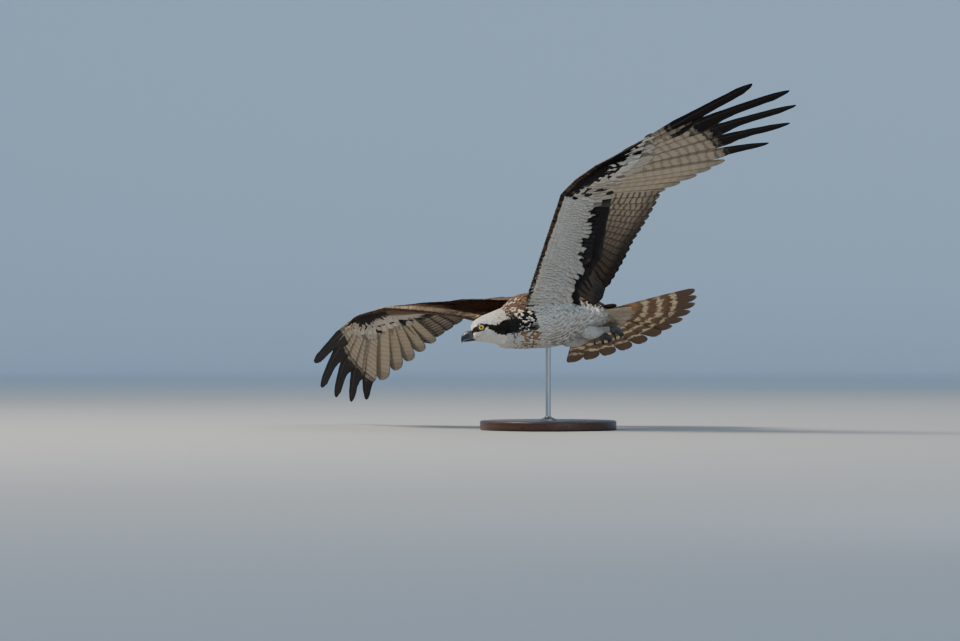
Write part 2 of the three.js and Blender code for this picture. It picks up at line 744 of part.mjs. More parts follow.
function birdMatrix() {
  const bank = new THREE.Matrix4().makeRotationY(-rad(BANK));
  const pitch = new THREE.Matrix4().makeRotationX(rad(NOSE_DOWN));
  return new THREE.Matrix4().makeTranslation(0, 0, BODY_HEIGHT).multiply(bank).multiply(pitch);
}

function standBase() {
  const profile = [[0, 0], [BASE_RADIUS, 0], [BASE_RADIUS, BASE_HEIGHT - BASE_EDGE]];
  for (let i = 1; i <= 3; i += 1) {
    const angle = (i / 3) * Math.PI / 2;
    profile.push([BASE_RADIUS - BASE_EDGE + BASE_EDGE * Math.cos(angle),
      BASE_HEIGHT - BASE_EDGE + BASE_EDGE * Math.sin(angle)]);
  }
  profile.push([0, BASE_HEIGHT]);
  const disc = new THREE.LatheGeometry(profile.map(([x, y]) => new THREE.Vector2(x, y)), 36);
  return disc.rotateX(Math.PI / 2);
}

function standRod() {
  const low = BASE_HEIGHT + GAP;
  const profile = [[0, 0], [15, 0], [15, 3], [9, 5], [ROD_RADIUS, 8], [ROD_RADIUS, BODY_HEIGHT],
    [0, BODY_HEIGHT]];
  const rod = new THREE.LatheGeometry(profile.map(([x, y]) => new THREE.Vector2(x, y)), 16);
  rod.rotateX(Math.PI / 2);
  rod.translate(0, 0, low);
  const bird = skinClear.transform(birdMatrix().elements);
  return geometryOf(largest(solid(rod).subtract(bird)));
}

// Materials

const plumage = (color) => new THREE.MeshStandardMaterial({ color, roughness: 0.9 });
const whiteDown = plumage(0xe9e7e0);
const brownFeather = plumage(0x4a3d34);
const tailFeather = plumage(0x9a8468);
const bareSkin = new THREE.MeshStandardMaterial({ color: 0xa9b4b4, roughness: 0.7 });
const horn = new THREE.MeshStandardMaterial({ color: 0x1e1f22, roughness: 0.35 });
const eyeYellow = new THREE.MeshStandardMaterial({ color: 0xe6c11e, roughness: 0.08 });
const wood = new THREE.MeshStandardMaterial({ color: 0x4d3020, roughness: 0.5 });
const steel = new THREE.MeshStandardMaterial({ color: 0xa8abad, roughness: 0.35, metalness: 1 });

// Scene

const osprey = new THREE.Group();
const bird = new THREE.Group();
bird.applyMatrix4(birdMatrix());
osprey.add(bird);

function place(parent, name, geometry, material) {
  const mesh = new THREE.Mesh(geometry, material);
  mesh.name = name;
  parent.add(mesh);
}

place(bird, 'torso', geometryOf(torso()), whiteDown);
place(bird, 'neck', geometryOf(neck()), whiteDown);
place(bird, 'head', geometryOf(head()), whiteDown);
place(bird, 'bill_upper', geometryOf(upperBill()), horn);
place(bird, 'bill_lower', geometryOf(lowerBill()), horn);
for (const [name, side, wing] of [['left', 1, LEFT_WING], ['right', -1, RIGHT_WING]]) {
  const { arm, hand } = wings(wing);
  place(bird, `wing_${name}_arm`, geometryOf(arm), brownFeather);
  place(bird, `wing_${name}_hand`, geometryOf(hand), brownFeather);
  place(bird, `eye_${name}`, geometryOf(eyeball(side, EYE_RADIUS)), eyeYellow);
  place(bird, `leg_${name}`, geometryOf(leg(side)), whiteDown);
  place(bird, `foot_${name}`, geometryOf(foot(side)), bareSkin);
}
place(bird, 'tail', geometryOf(tail()), tailFeather);
place(osprey, 'stand_base', standBase(), wood);
place(osprey, 'stand_rod', standRod(), steel);

export default osprey;
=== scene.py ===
# %% [markdown]
# An osprey in flight, life size, as a museum would show it: gliding, banked to its right, on one
# steel rod over a round wooden base. The frame comes first, because every piece that is made here
# has to sit on the solids that it brings. They are in metres, with the bird flying towards -Y.

# %% Load the frame
import math
from functools import partial
import bpy
import numpy as np
from mathutils import Matrix, Vector
from mathutils.kdtree import KDTree


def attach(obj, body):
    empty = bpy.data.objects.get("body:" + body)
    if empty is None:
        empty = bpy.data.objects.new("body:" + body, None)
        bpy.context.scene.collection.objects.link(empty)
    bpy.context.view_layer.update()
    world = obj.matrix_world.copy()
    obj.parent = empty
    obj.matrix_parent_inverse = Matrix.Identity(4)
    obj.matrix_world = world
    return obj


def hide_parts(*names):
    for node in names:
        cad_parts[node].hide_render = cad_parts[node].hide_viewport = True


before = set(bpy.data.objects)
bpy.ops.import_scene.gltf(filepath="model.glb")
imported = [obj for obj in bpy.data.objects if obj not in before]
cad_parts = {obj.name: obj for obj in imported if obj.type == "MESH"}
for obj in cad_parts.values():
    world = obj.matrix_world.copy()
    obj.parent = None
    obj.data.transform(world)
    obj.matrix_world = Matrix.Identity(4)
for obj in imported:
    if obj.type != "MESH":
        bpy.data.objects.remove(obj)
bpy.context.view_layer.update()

MM = 0.001


# %% [markdown]
# The bird is built in its own upright frame, in millimetres: x to its left, y towards its tail
# and z up. One matrix then banks it and lifts it onto its stand. Working this way keeps each
# measure a plain length on the bird, and a small array of points can be moved at once.

# %% The bird's own frame
BODY_HEIGHT = 205
BANK, NOSE_DOWN = 20.5, 1  # degrees
HEAD_PLACE = (-6, -190.5, -5)
HEAD_TURN, HEAD_LEVEL = 30, 10  # degrees


def turned(axis, degrees):
    return np.array(Matrix.Rotation(math.radians(degrees), 3, axis))


BIRD_TURN = turned("Y", -BANK) @ turned("X", NOSE_DOWN)
HEAD_FRAME = turned("Z", -HEAD_TURN) @ turned("Y", HEAD_LEVEL)


def to_row(points):
    """Points of the bird, in millimetres, as points of the frame, in metres."""
    return (np.asarray(points, float) @ BIRD_TURN.T + (0, 0, BODY_HEIGHT)) * MM


def on_head(ahead, left, up):
    """A point of the head: ahead of the eyes, to the left and above them."""
    return np.array([left, -ahead, up], float) @ HEAD_FRAME.T + HEAD_PLACE


def unit(v):
    v = np.asarray(v, float)
    return v / np.maximum(np.linalg.norm(v, axis=-1, keepdims=True), 1e-9)


print("head's middle in the frame", to_row([HEAD_PLACE])[0].round(3))


# %% [markdown]
# Materials come from a few helpers: one turns an sRGB hex value linear, and one adds a node with
# its settings and links, whatever kind it is. A feather's colour can't be one flat value. It comes
# from the place on the bird, which the mesh carries as an attribute, and from the place on the
# feather, which its own UV map gives, so the same pattern stays put from every side.

# %% Colour and node helpers
def linear(hex_value):
    channels = [int(hex_value[i:i + 2], 16) / 255 for i in (0, 2, 4)]
    return tuple(c / 12.92 if c <= 0.04045 else ((c + 0.055) / 1.055) ** 2.4 for c in channels)


def rgba(hex_value):
    return (*linear(hex_value), 1.0)


SOFT_EDGE = {"interpolation_type": "SMOOTHSTEP"}
IN_COLOUR = {"data_type": "RGBA"}
ADD, TAKE, TIMES = ({"operation": name} for name in ("ADD", "SUBTRACT", "MULTIPLY"))


def feed(material, socket, value):
    """Gives a socket another node's output, or a hex colour or a number of its own."""
    if isinstance(value, bpy.types.NodeSocket):
        material.node_tree.links.new(value, socket)
    else:
        socket.default_value = rgba(value) if isinstance(value, str) else value


def add_node(material, kind, *values, out=None, stops=(), **settings):
    """Adds a node and gives one output, the first live one unless out names another.

    Values go to the live inputs in turn. Settings name options, or inputs with _ for a space.
    Stops are the (place, hex) pairs of a colour ramp."""
    node = material.node_tree.nodes.new("ShaderNode" + kind)
    named = {key.replace("_", " "): key for key in settings}
    for spaced, key in named.items():
        if spaced not in node.inputs:
            setattr(node, key, settings[key])
    for socket, value in zip([s for s in node.inputs if s.enabled], values):
        feed(material, socket, value)
    for spaced, key in named.items():
        if spaced in node.inputs:
            feed(material, node.inputs[spaced], settings[key])
    for _ in stops[2:]:
        node.color_ramp.elements.new(0.5)
    for i, (place, hex_value) in enumerate(stops):
        node.color_ramp.elements[i].position = place
        node.color_ramp.elements[i].color = rgba(hex_value)
    return node.outputs[out] if out else next(s for s in node.outputs if s.enabled)


def new_material(name, roughness, **sockets):
    material = bpy.data.materials.new(name)
    material.use_nodes = True
    shader = material.node_tree.nodes["Principled BSDF"]
    shader.inputs["Roughness"].default_value = roughness
    for key, value in sockets.items():
        shader.inputs[key.replace("_", " ")].default_value = value
    return material, shader


print("black as linear:", linear("101010"))


# %% [markdown]
# The camera stands where the photograph's did: level with the bird, ahead of its left shoulder.
# The bird is banked on its stand, so a level camera sees it from below as the photograph does.
# The lens is long, because the bird was far away. It is set from the picture's scale: so many
# pixels for each metre at the bird's distance.

# %% Camera
CAMERA_AZIMUTH = 42
CAMERA_DISTANCE = 8.0
PHOTO_SIZE = (960, 641)
SENSOR = 36
PIXELS_PER_METRE = 525.8
BODY_PIXEL = (548.2, 322.1)  # where the photograph shows the middle of the body

azimuth = math.radians(CAMERA_AZIMUTH)
towards_camera = Vector((math.sin(azimuth), -math.cos(azimuth), 0))
camera_right = Vector((math.cos(azimuth), math.sin(azimuth), 0))
aim = Vector((0, 0, BODY_HEIGHT * MM))
aim += camera_right * (PHOTO_SIZE[0] / 2 - BODY_PIXEL[0]) / PIXELS_PER_METRE
aim.z += (BODY_PIXEL[1] - PHOTO_SIZE[1] / 2) / PIXELS_PER_METRE
bpy.ops.object.camera_add(location=aim + towards_camera * CAMERA_DISTANCE,
                          rotation=(math.pi / 2, 0, azimuth))
camera = bpy.context.object
camera.data.sensor_width = SENSOR
camera.data.lens = PIXELS_PER_METRE * SENSOR * CAMERA_DISTANCE / PHOTO_SIZE[0]
camera.data.clip_end = 100
bpy.context.scene.camera = camera
print("lens", round(camera.data.lens, 1), "mm")


# %% [markdown]
# The floor is a wide pale sweep that curls up into a wall all round, as photographers' paper
# does, so no hard horizon cuts through the picture. It is stage, and no part of the model. The
# paper is darker in the middle, where the lamps are near, so that floor and wall look alike. A
# large soft light high on one side stands in for the sun, with weaker ones opposite and behind.

# %% Floor and light
FLOOR_RADIUS, CURL, WALL_TOP = 9.5, 3.0, 7.0  # metres
CURL_STEPS, SPOKES = 10, 96

profile = [(1.0, 0.0), (4.0, 0.0), (FLOOR_RADIUS, 0.0)]
for k in range(1, CURL_STEPS + 1):
    bend = k / CURL_STEPS * math.pi / 2
    profile.append((FLOOR_RADIUS + CURL * math.sin(bend), CURL * (1 - math.cos(bend))))
profile.append((FLOOR_RADIUS + CURL, WALL_TOP))
sweep_points, sweep_faces = [], [tuple(range(SPOKES))]
for i, (radius, height) in enumerate(profile):
    for j in range(SPOKES):
        turn = j / SPOKES * 2 * math.pi
        sweep_points.append((radius * math.cos(turn), radius * math.sin(turn), height))
        if i > 0:
            a, b = (i - 1) * SPOKES + j, (i - 1) * SPOKES + (j + 1) % SPOKES
            sweep_faces.append((a, a + SPOKES, b + SPOKES, b))
sweep = bpy.data.meshes.new("studio_sweep")
sweep.from_pydata(sweep_points, [], sweep_faces)
sweep.polygons.foreach_set("use_smooth", [i > 0 for i in range(len(sweep_faces))])
floor = bpy.data.objects.new("studio_sweep", sweep)
bpy.context.collection.objects.link(floor)
floor_paint, shader = new_material("matte_studio_paper", 0.9)
paint_node = partial(add_node, floor_paint)
reach = paint_node("VectorMath", paint_node("TexCoord", out="Object"), operation="LENGTH")
spread = paint_node("Math", reach, FLOOR_RADIUS + CURL, operation="DIVIDE", use_clamp=True)
feed(floor_paint, shader.inputs["Base Color"], paint_node("ValToRGB", spread, stops=(
    (0.0, "989a9b"), (0.25, "9a9fa4"), (0.55, "adbccb"), (0.78, "c9d8e6"), (1.0, "e3effb"))))
floor.data.materials.append(floor_paint)

world = bpy.data.worlds.new("soft_sky")
bpy.context.scene.world = world
world.use_nodes = True
world.node_tree.nodes["Background"].inputs["Color"].default_value = rgba("b6cbdf")
world.node_tree.nodes["Background"].inputs["Strength"].default_value = 0.85


def add_light(name, azimuth_deg, elevation_deg, distance, size, power, tint):
    a = math.radians(azimuth_deg)
    e = math.radians(elevation_deg)
    away = Vector((math.sin(a) * math.cos(e), -math.cos(a) * math.cos(e), math.sin(e)))
    place = aim + away * distance
    bpy.ops.object.light_add(type="AREA", location=place)
    light = bpy.context.object
    light.name = name
    light.data.size = size
    light.data.energy = power
    light.data.color = linear(tint)
    light.rotation_euler = away.to_track_quat("Z", "Y").to_euler()
    return light


add_light("sun_side", -30, 60, 4.0, 1.4, 260, "fff0da")
add_light("fill_side", 70, 10, 4.0, 2.5, 22, "dfeaf5")
add_light("back_rim", 190, 40, 4.0, 1.5, 32, "fff1e0")


# %% [markdown]
# The trunk, neck and head are one smooth form. It is drawn as a row of oval rings from the tail to
# the face, and a smooth curve through the rings gives a surface that can be asked for a point at
# any place along and around the bird. The same surface makes the skin and places every feather,
# so the two always agree. The skin lies inside the plumage by the depth of the coat.

# %% Rings of the body
TRUNK = [  # back from the middle, sideways, lift, half width, height above, depth below
    (198, 0, -4, 14, 7, 7),
    (165, 0, 3, 28, 25, 14),
    (128, 0, 5, 36, 40, 25),
    (95, 0, 4, 41, 44, 35),
    (55, 0, 2, 48, 49, 42),
    (10, 0, 0, 53, 54, 47),
    (-35, 0, -1, 54, 58, 47),
    (-72, 0, -2, 52, 57, 47),
    (-100, -1, -3, 46, 44, 45),
    (-128, -2, -4, 38, 31, 43),
]
HEAD_ROWS = [  # ahead of the eyes, half width, top, bottom
    (-44, 33, 27, -44),
    (-32, 29, 24.5, -39),
    (-20, 26, 22.5, -34.5),
    (-10, 23.5, 20.5, -31),
    (0, 20, 17.6, -27.5),
    (8, 17.4, 14.6, -25),
    (14, 14.4, 9.5, -23.6),
    (19.7, 10.4, -0.6, -22.6),
]
RING_POINTS = 72
ring_angles = np.arange(RING_POINTS) / RING_POINTS * 2 * math.pi


def body_ring(row, depth):
    back, shift, lift, width, above, below = row
    c, s = np.cos(ring_angles), np.sin(ring_angles)
    tall = np.where(s > 0, above - depth, below - depth)
    return np.stack([shift + c * (width - depth), np.full_like(c, back), lift + s * tall], axis=1)


def head_ring(row, depth):
    ahead, width, top, bottom = row
    depth = min(depth, 2.5)
    c, s = np.cos(ring_angles), np.sin(ring_angles)
    middle, half = (top + bottom) / 2, (top - bottom) / 2 - depth
    return on_head_array(ahead, c * (width - depth), middle + s * half)


def on_head_array(ahead, left, up):
    local = np.stack([left, np.full_like(left, -ahead), up], axis=1)
    return local @ HEAD_FRAME.T + HEAD_PLACE


def smooth_rows(rows, steps):
    """Rings between the given ones on a smooth curve, and how far along each one lies."""
    rows = np.asarray(rows)
    last = len(rows) - 1
    out = []
    for i in range(last):
        p0, p1 = rows[max(i - 1, 0)], rows[i]
        p2, p3 = rows[i + 1], rows[min(i + 2, last)]
        for k in range(steps):
            t = k / steps
            out.append(0.5 * (2 * p1 + (p2 - p0) * t + (2 * p0 - 5 * p1 + 4 * p2 - p3) * t ** 2
                              + (3 * p1 - p0 - 3 * p2 + p3) * t ** 3))
    out.append(rows[last])
    return np.array(out)


def body_surface(depth, steps=8):
    rings = [body_ring(row, depth) for row in TRUNK] + [head_ring(row, depth) for row in HEAD_ROWS]
    return smooth_rows(rings, steps)


plumage_rings = body_surface(0)
print("body surface:", plumage_rings.shape[0], "rings of", plumage_rings.shape[1], "points")


# %% [markdown]
# A wing hangs on three bones. Each flight feather has a root on them, a direction and a length,
# and these change evenly from the body to the tip, so a handful of angles places all thirty.
# The right wing is the left one mirrored, with its own angles, as no bird holds both alike.

# %% Wing bones and flight feather shafts
HUMERUS, FOREARM, HAND = 150, 195, 135
SHOULDER = (46, -75, 26)
LEFT_WING = {
    "side": 1, "front": (29, -98, 17), "arch": 0, "brown_edge_and_shade": 0.02,
    "humerus": (43.8, 32), "forearm": (-57.2, 17.3), "hand": (12.4, 12.2),
    "primary_turn": (70.9, 42.5, 13.8), "primary_rise": (-3.8, -6.2, 2.9),
    "secondary_turn": (99.7, 127), "secondary_rise": (-9, -17),
}
# The right wing's lining is painted brown further back from its leading edge than the left's: that is
# painted shade on the far wing's underside.
RIGHT_WING = {
    "side": -1, "front": (29, -98, 7), "arch": 6, "brown_edge_and_shade": 0.5,
    "humerus": (43.9, 26.2), "forearm": (-58, 9.8), "hand": (20.5, 12),
    "primary_turn": (64.3, 37.4, 25.6), "primary_rise": (-11.6, -17.5, -2.9),
    "secondary_turn": (84, 118), "secondary_rise": (6, -8),
}
PRIMARY_LENGTHS = (220, 230, 244, 256, 268, 340, 374, 383, 368, 296)
PRIMARY_ROOTS = (0, 0.08, 0.16, 0.24, 0.33, 0.42, 0.52, 0.64, 0.8, 0.97)
OUTERMOST_RISE = 2.5  # degrees more for the outermost primary
SECONDARY_COUNT = 16
SECONDARY_LENGTHS = (214, 195, 200)
TERTIAL_LENGTH = 145
TERTIAL_COUNT = 4


def direction(side, angles):
    turn, rise = math.radians(angles[0]), math.radians(angles[1])
    flat = math.cos(rise)
    return np.array([side * flat * math.cos(turn), flat * math.sin(turn), math.sin(rise)])


def through(keys, t):
    return float(np.interp(t * (len(keys) - 1), range(len(keys)), keys))


def wing_bones(wing):
    side = wing["side"]
    shoulder = np.array([side * SHOULDER[0], SHOULDER[1], SHOULDER[2]], float)
    elbow = shoulder + HUMERUS * direction(side, wing["humerus"])
    wrist = elbow + FOREARM * direction(side, wing["forearm"])
    return shoulder, elbow, wrist, wrist + HAND * direction(side, wing["hand"])


def wing_shafts(wing):
    side = wing["side"]
    shoulder, elbow, wrist, tip = wing_bones(wing)
    shafts = []
    for i in range(TERTIAL_COUNT, 0, -1):
        t = i / (TERTIAL_COUNT + 1)
        angles = (wing["secondary_turn"][1] - 26 * t, wing["secondary_rise"][1] + 4 * t)
        shafts.append(dict(group="tertial", root=elbow + (shoulder - elbow) * t * 0.62,
                           along=direction(side, angles),
                           length=SECONDARY_LENGTHS[2] * (1 - t) + TERTIAL_LENGTH * t))
    for i in range(SECONDARY_COUNT - 1, -1, -1):
        t = i / (SECONDARY_COUNT - 1)
        angles = (through((wing["primary_turn"][0], *wing["secondary_turn"]), t),
                  through((wing["primary_rise"][0], *wing["secondary_rise"]), t))
        shafts.append(dict(group="secondary", root=wrist + (elbow - wrist) * t,
                           along=direction(side, angles), length=through(SECONDARY_LENGTHS, t)))
    for i, length in enumerate(PRIMARY_LENGTHS):
        t = i / (len(PRIMARY_LENGTHS) - 1)
        rise = through(wing["primary_rise"], t) + (OUTERMOST_RISE if t == 1 else 0)
        shafts.append(dict(group="primary", root=wrist + (tip - wrist) * PRIMARY_ROOTS[i],
                           along=direction(side, (through(wing["primary_turn"], t), rise)),
                           length=length))
    far = [s["root"] + s["along"] * s["length"] * 0.6 for s in shafts]
    for i, shaft in enumerate(shafts):
        out = far[min(i + 1, len(far) - 1)] - far[max(i - 1, 0)]
        out = unit(out - shaft["along"] * (out @ shaft["along"]))
        shaft["across"] = out
        shaft["normal"] = unit(np.cross(out, shaft["along"]) * side)
        shaft["order"] = i
    return shafts


VANE_PITCH, VANE_TILT, LEAST_STEP = 1.0, 0.08, 0.08


def set_lifts(shafts):
    """Where shafts crowd together their vanes are stacked, each above the next one outwards."""
    wrist = [s["group"] for s in shafts].index("primary")

    def step(i):
        gap = (shafts[i + 1]["root"] - shafts[i]["root"]
               + 70 * (shafts[i + 1]["along"] - shafts[i]["along"])) @ shafts[i]["across"]
        return max(LEAST_STEP, VANE_PITCH - max(gap, 0) * VANE_TILT)

    shafts[wrist]["lift"] = 0.0
    for i in range(wrist - 1, -1, -1):
        shafts[i]["lift"] = shafts[i + 1]["lift"] + step(i)
    for i in range(wrist, len(shafts) - 1):
        shafts[i + 1]["lift"] = shafts[i]["lift"] - step(i)
    return shafts


wings = {name: dict(wing=wing, shafts=set_lifts(wing_shafts(wing)))
         for name, wing in (("left", LEFT_WING), ("right", RIGHT_WING))}
print("flight feathers per wing:", len(wings["left"]["shafts"]))


# %% [markdown]
# The fleshy part of a wing is a thin wedge. It is widest at the body, has a round leading edge,
# and thins out to the row of flight feathers behind. It is described once, by a front line, a
# back line and a thickness that change along the wing, and then any point of its upper or lower
# face can be asked for. The coverts use that to lie flush with it.

# %% Wing surface
SECTION_SHAPE = ((0, 0), (0.06, 0.55), (0.25, 1), (0.62, 0.82), (1, 0.42))
ORDER_WRIST = TERTIAL_COUNT + SECONDARY_COUNT
HAND_BOW = 17  # how far the hand's front line is bowed forward
WRIST_FRONT, TIP_FRONT = 16, 5  # from the bones to the leading edge


def wing_rows(wing, shafts):
    """Rows (order among the shafts, front point, back point, half thickness)."""
    side = wing["side"]
    _, _, wrist, tip = wing_bones(wing)
    up = shafts[TERTIAL_COUNT + SECONDARY_COUNT // 2]["normal"]
    front = np.array(wing["front"], float) * (side, 1, 1)
    edge = wrist + WRIST_FRONT * direction(side, (-75, 0))
    tip_front = tip + TIP_FRONT * direction(side, (-80, 0))
    ahead = unit(np.cross(tip_front - edge, up) * side)
    last = shafts[-1]
    rows = [(-2, np.array([side * 8, -92, 6.0]), np.array([side * 8, 70, 14.0]), 17),
            (-1, front, np.array([side * 36, 62, 30.0]), 12)]

    def add_rows(measures, start, end, bow):
        for t, order, reach, half in measures:
            shaft = shafts[order]
            rows.append((order, start + (end - start) * t + bow * math.sin(math.pi * t),
                         shaft["root"] + shaft["along"] * shaft["length"] * reach, half))

    add_rows(((0.22, 0, 0.34, 13), (0.45, 3, 0.33, 11), (0.62, 8, 0.3, 10), (0.8, 13, 0.31, 10),
              (0.93, 17, 0.32, 9)), front, edge, up * wing["arch"])
    add_rows(((0, 20, 0.32, 7.5), (0.3, 23, 0.27, 6), (0.65, 26, 0.2, 5), (1, 29, 0.17, 3.6)),
             edge, tip_front, ahead * HAND_BOW)
    rows.append((29.8, tip_front + last["along"] * 62, last["root"] + last["along"] * 74, 2))
    return rows


class WingSurface:
    """The wing's fleshy part as a surface, and the flight feathers' frame at any place on it."""

    def __init__(self, wing, shafts):
        rows = wing_rows(wing, shafts)
        self.orders = np.array([r[0] for r in rows], float)
        self.fronts = np.array([r[1] for r in rows])
        self.backs = np.array([r[2] for r in rows])
        self.halves = np.array([r[3] for r in rows], float)
        self.up = shafts[TERTIAL_COUNT + SECONDARY_COUNT // 2]["normal"]
        self.shafts = {k: np.array([s[k] for s in shafts], float)
                       for k in ("root", "along", "across", "normal", "length", "lift")}
        self.side = wing["side"]

    def between(self, values, q):
        if values.ndim == 1:
            return np.interp(q, self.orders, values)
        return np.stack([np.interp(q, self.orders, values[:, k]) for k in range(3)], axis=-1)

    def shaft(self, key, q):
        values = self.shafts[key]
        places = np.arange(len(values))
        if values.ndim == 1:
            return np.interp(q, places, values)
        out = np.stack([np.interp(q, places, values[:, k]) for k in range(3)], axis=-1)
        return out if key == "root" else unit(out)

    def chord_frame(self, q):
        front, back = self.between(self.fronts, q), self.between(self.backs, q)
        chord = back - front
        down = (chord @ self.up) / np.maximum((chord * chord).sum(-1), 1e-9)
        return front, chord, unit(self.up - chord * down[..., None])

    def point(self, q, v, face, depth=0.0):
        """A point at place v of the chord; face is 1 above and -1 below."""
        front, chord, normal = self.chord_frame(q)
        shape_v, shape_h = np.array(SECTION_SHAPE).T
        height = np.interp(v, shape_v, shape_h) * self.between(self.halves, q)
        height = np.maximum(height - depth, 0.2)
        return front + chord * np.asarray(v)[..., None] + normal * (face * height)[..., None]

    def ring(self, q, depth):
        shape_v = np.array([0, 0.02, 0.06, 0.14, 0.25, 0.42, 0.62, 0.82, 1])
        top = self.point(np.full(len(shape_v), q, float), shape_v, 1.0, depth)
        low = self.point(np.full(len(shape_v) - 1, q, float), shape_v[:0:-1], -1.0, depth)
        return np.concatenate([top, low])


for name, part in wings.items():
    part["surface"] = WingSurface(part["wing"], part["shafts"])
    span = np.linalg.norm(part["surface"].fronts[-1] - part["surface"].fronts[0])
    print(name, "wing arm and hand reach", round(span), "mm before the flight feathers")


# %% [markdown]
# A skin is needed below the feathers, so that nothing shows through between them. Trunk, head,
# wings and thighs are made as closed forms, ring after ring, as one would extrude a circle along
# a limb. A voxel remesh then melts them into one skin with no seam, and a little smoothing takes
# the steps away.

# %% Skin
COAT_DEPTH = 5.0
WING_COAT_DEPTH = 1.6
SKIN_VOXEL = 3.2


def mesh_object(name, points, faces):
    """A mesh object from points of the frame, in metres."""
    mesh = bpy.data.meshes.new(name)
    mesh.from_pydata([tuple(p) for p in points], [], [tuple(f) for f in faces])
    mesh.update()
    piece = bpy.data.objects.new(name, mesh)
    bpy.context.collection.objects.link(piece)
    return piece


def lofted(name, rings):
    """A closed form through rings of the bird, each with the same number of points."""
    rings = [np.asarray(r) for r in rings]
    count = len(rings[0])
    last = (len(rings) - 1) * count
    faces = [list(range(count))[::-1], [last + j for j in range(count)]]
    for i in range(len(rings) - 1):
        for j in range(count):
            a, b = i * count + j, i * count + (j + 1) % count
            faces.append([a, b, b + count, a + count])
    piece = mesh_object(name, to_row(np.concatenate(rings)), faces)
    recalculate(piece)
    return piece


def select_only(*pieces):
    bpy.ops.object.select_all(action="DESELECT")
    for piece in pieces:
        piece.select_set(True)
    bpy.context.view_layer.objects.active = pieces[0]


def recalculate(piece):
    select_only(piece)
    bpy.ops.object.mode_set(mode="EDIT")
    bpy.ops.mesh.select_all(action="SELECT")
    bpy.ops.mesh.normals_make_consistent(inside=False)
    bpy.ops.object.mode_set(mode="OBJECT")


def smooth_shade(piece, angle=60):
    select_only(piece)
    bpy.ops.object.shade_smooth_by_angle(angle=math.radians(angle))


def tube_rings(points, radii, sides=14, steps=12):
    """Round rings along a smooth curve through the points."""
    points = smooth_rows(np.asarray(points, float), steps)
    radii = np.interp(np.linspace(0, 1, len(points)), np.linspace(0, 1, len(radii)), radii)
    tangents = unit(np.gradient(points, axis=0))
    first = np.array([0, 0, 1.0]) if abs(tangents[0][2]) < 0.9 else np.array([1.0, 0, 0])
    side = unit(np.cross(tangents[0], first))
    rings = []
    for point, tangent, radius in zip(points, tangents, radii):
        side = unit(side - tangent * (side @ tangent))
        up = np.cross(tangent, side)
        angles = np.arange(sides) / sides * 2 * math.pi
        rings.append(point + radius * (np.cos(angles)[:, None] * side + np.sin(angles)[:, None] * up))
    return rings


def apply_modifier(piece, kind, **settings):
    select_only(piece)
    modifier = piece.modifiers.new(kind.title(), kind)
    for key, value in settings.items():
        setattr(modifier, key, value)
    bpy.ops.object.modifier_apply(modifier=modifier.name)


LEG_SKIN = (11, 10, 5, 3.6)  # half widths along a leg's skin


def leg_path(side):
    return [(side * 25, 60, -27), (side * 21, 94, -31), (side * 16, 135, -24), (side * 15, 155, -23)]


flesh = [lofted("skin", body_surface(COAT_DEPTH, 4))]
for part in wings.values():
    surface = part["surface"]
    flesh.append(lofted("wing_flesh", [surface.ring(q, WING_COAT_DEPTH) for q in surface.orders]))
for side in (1, -1):
    flesh.append(lofted("thigh", tube_rings(leg_path(side), LEG_SKIN)))
select_only(*flesh)
bpy.ops.object.join()
skin = bpy.context.object
apply_modifier(skin, "REMESH", mode="VOXEL", voxel_size=SKIN_VOXEL * MM)
apply_modifier(skin, "SMOOTH", factor=0.5, iterations=3)
bpy.ops.object.mode_set(mode="EDIT")
bpy.ops.mesh.select_all(action="SELECT")
bpy.ops.uv.smart_project(angle_limit=math.radians(66), island_margin=0.002)
bpy.ops.object.mode_set(mode="OBJECT")
skin.data.uv_layers[0].name = "OFBake"
smooth_shade(skin, 80)
print("skin faces:", len(skin.data.polygons))


# %% [markdown]
# Thousands of small feathers are one joined mesh, worked out in arrays. One template feather is a
# thin closed leaf: a few stations along it, a few columns across, crowned in the middle and sharp
# at its edges. Each real feather is that leaf set from its root to its tip. The first UV map says
# where on its feather a point is. The second, for baking, gives each small feather a tiny patch
# at its root's place on the skin's own unwrap.

# %% Feather leaf and joined meshes
BAKE_PATCH = 0.003  # share of the bake map's side that one small feather takes
LEAF_CROWN = 0.035  # rise of a leaf's middle, as a share of its width


def leaf_template(stations, columns, thickness=0.12):
    """Points (along 0..1, across -1..1, crown, half thickness) and faces of a closed leaf."""
    across = np.linspace(-1, 1, columns)
    points, faces = [], []
    ring = 2 * (columns - 1)
    for t, width in stations:
        for c in across:
            points.append((t, c, width, 1 - c * c, thickness if abs(c) < 1 else 0))
        for c in across[1:-1][::-1]:
            points.append((t, c, width, 1 - c * c, -thickness))
    for i in range(len(stations) - 1):
        for j in range(ring):
            a, b = i * ring + j, i * ring + (j + 1) % ring
            faces.append((a, a + ring, b + ring, b))
    faces.append(tuple(range(ring)))
    last = (len(stations) - 1) * ring
    faces.append(tuple(last + j for j in range(ring))[::-1])
    return np.array(points), faces


SMALL_LEAF = leaf_template(((0, 0.4), (0.35, 0.85), (0.65, 1), (0.87, 0.78), (1, 0.2)), 3)
LARGE_LEAF = leaf_template(((0, 0.35), (0.15, 0.7), (0.35, 0.95), (0.55, 1), (0.75, 0.97),
                            (0.88, 0.8), (0.96, 0.5), (1, 0.16)), 5)


def write(data, field, values):
    """Writes an array of numbers into a layer of a mesh."""
    data.foreach_set(field, np.asarray(values, np.float32).reshape(-1))


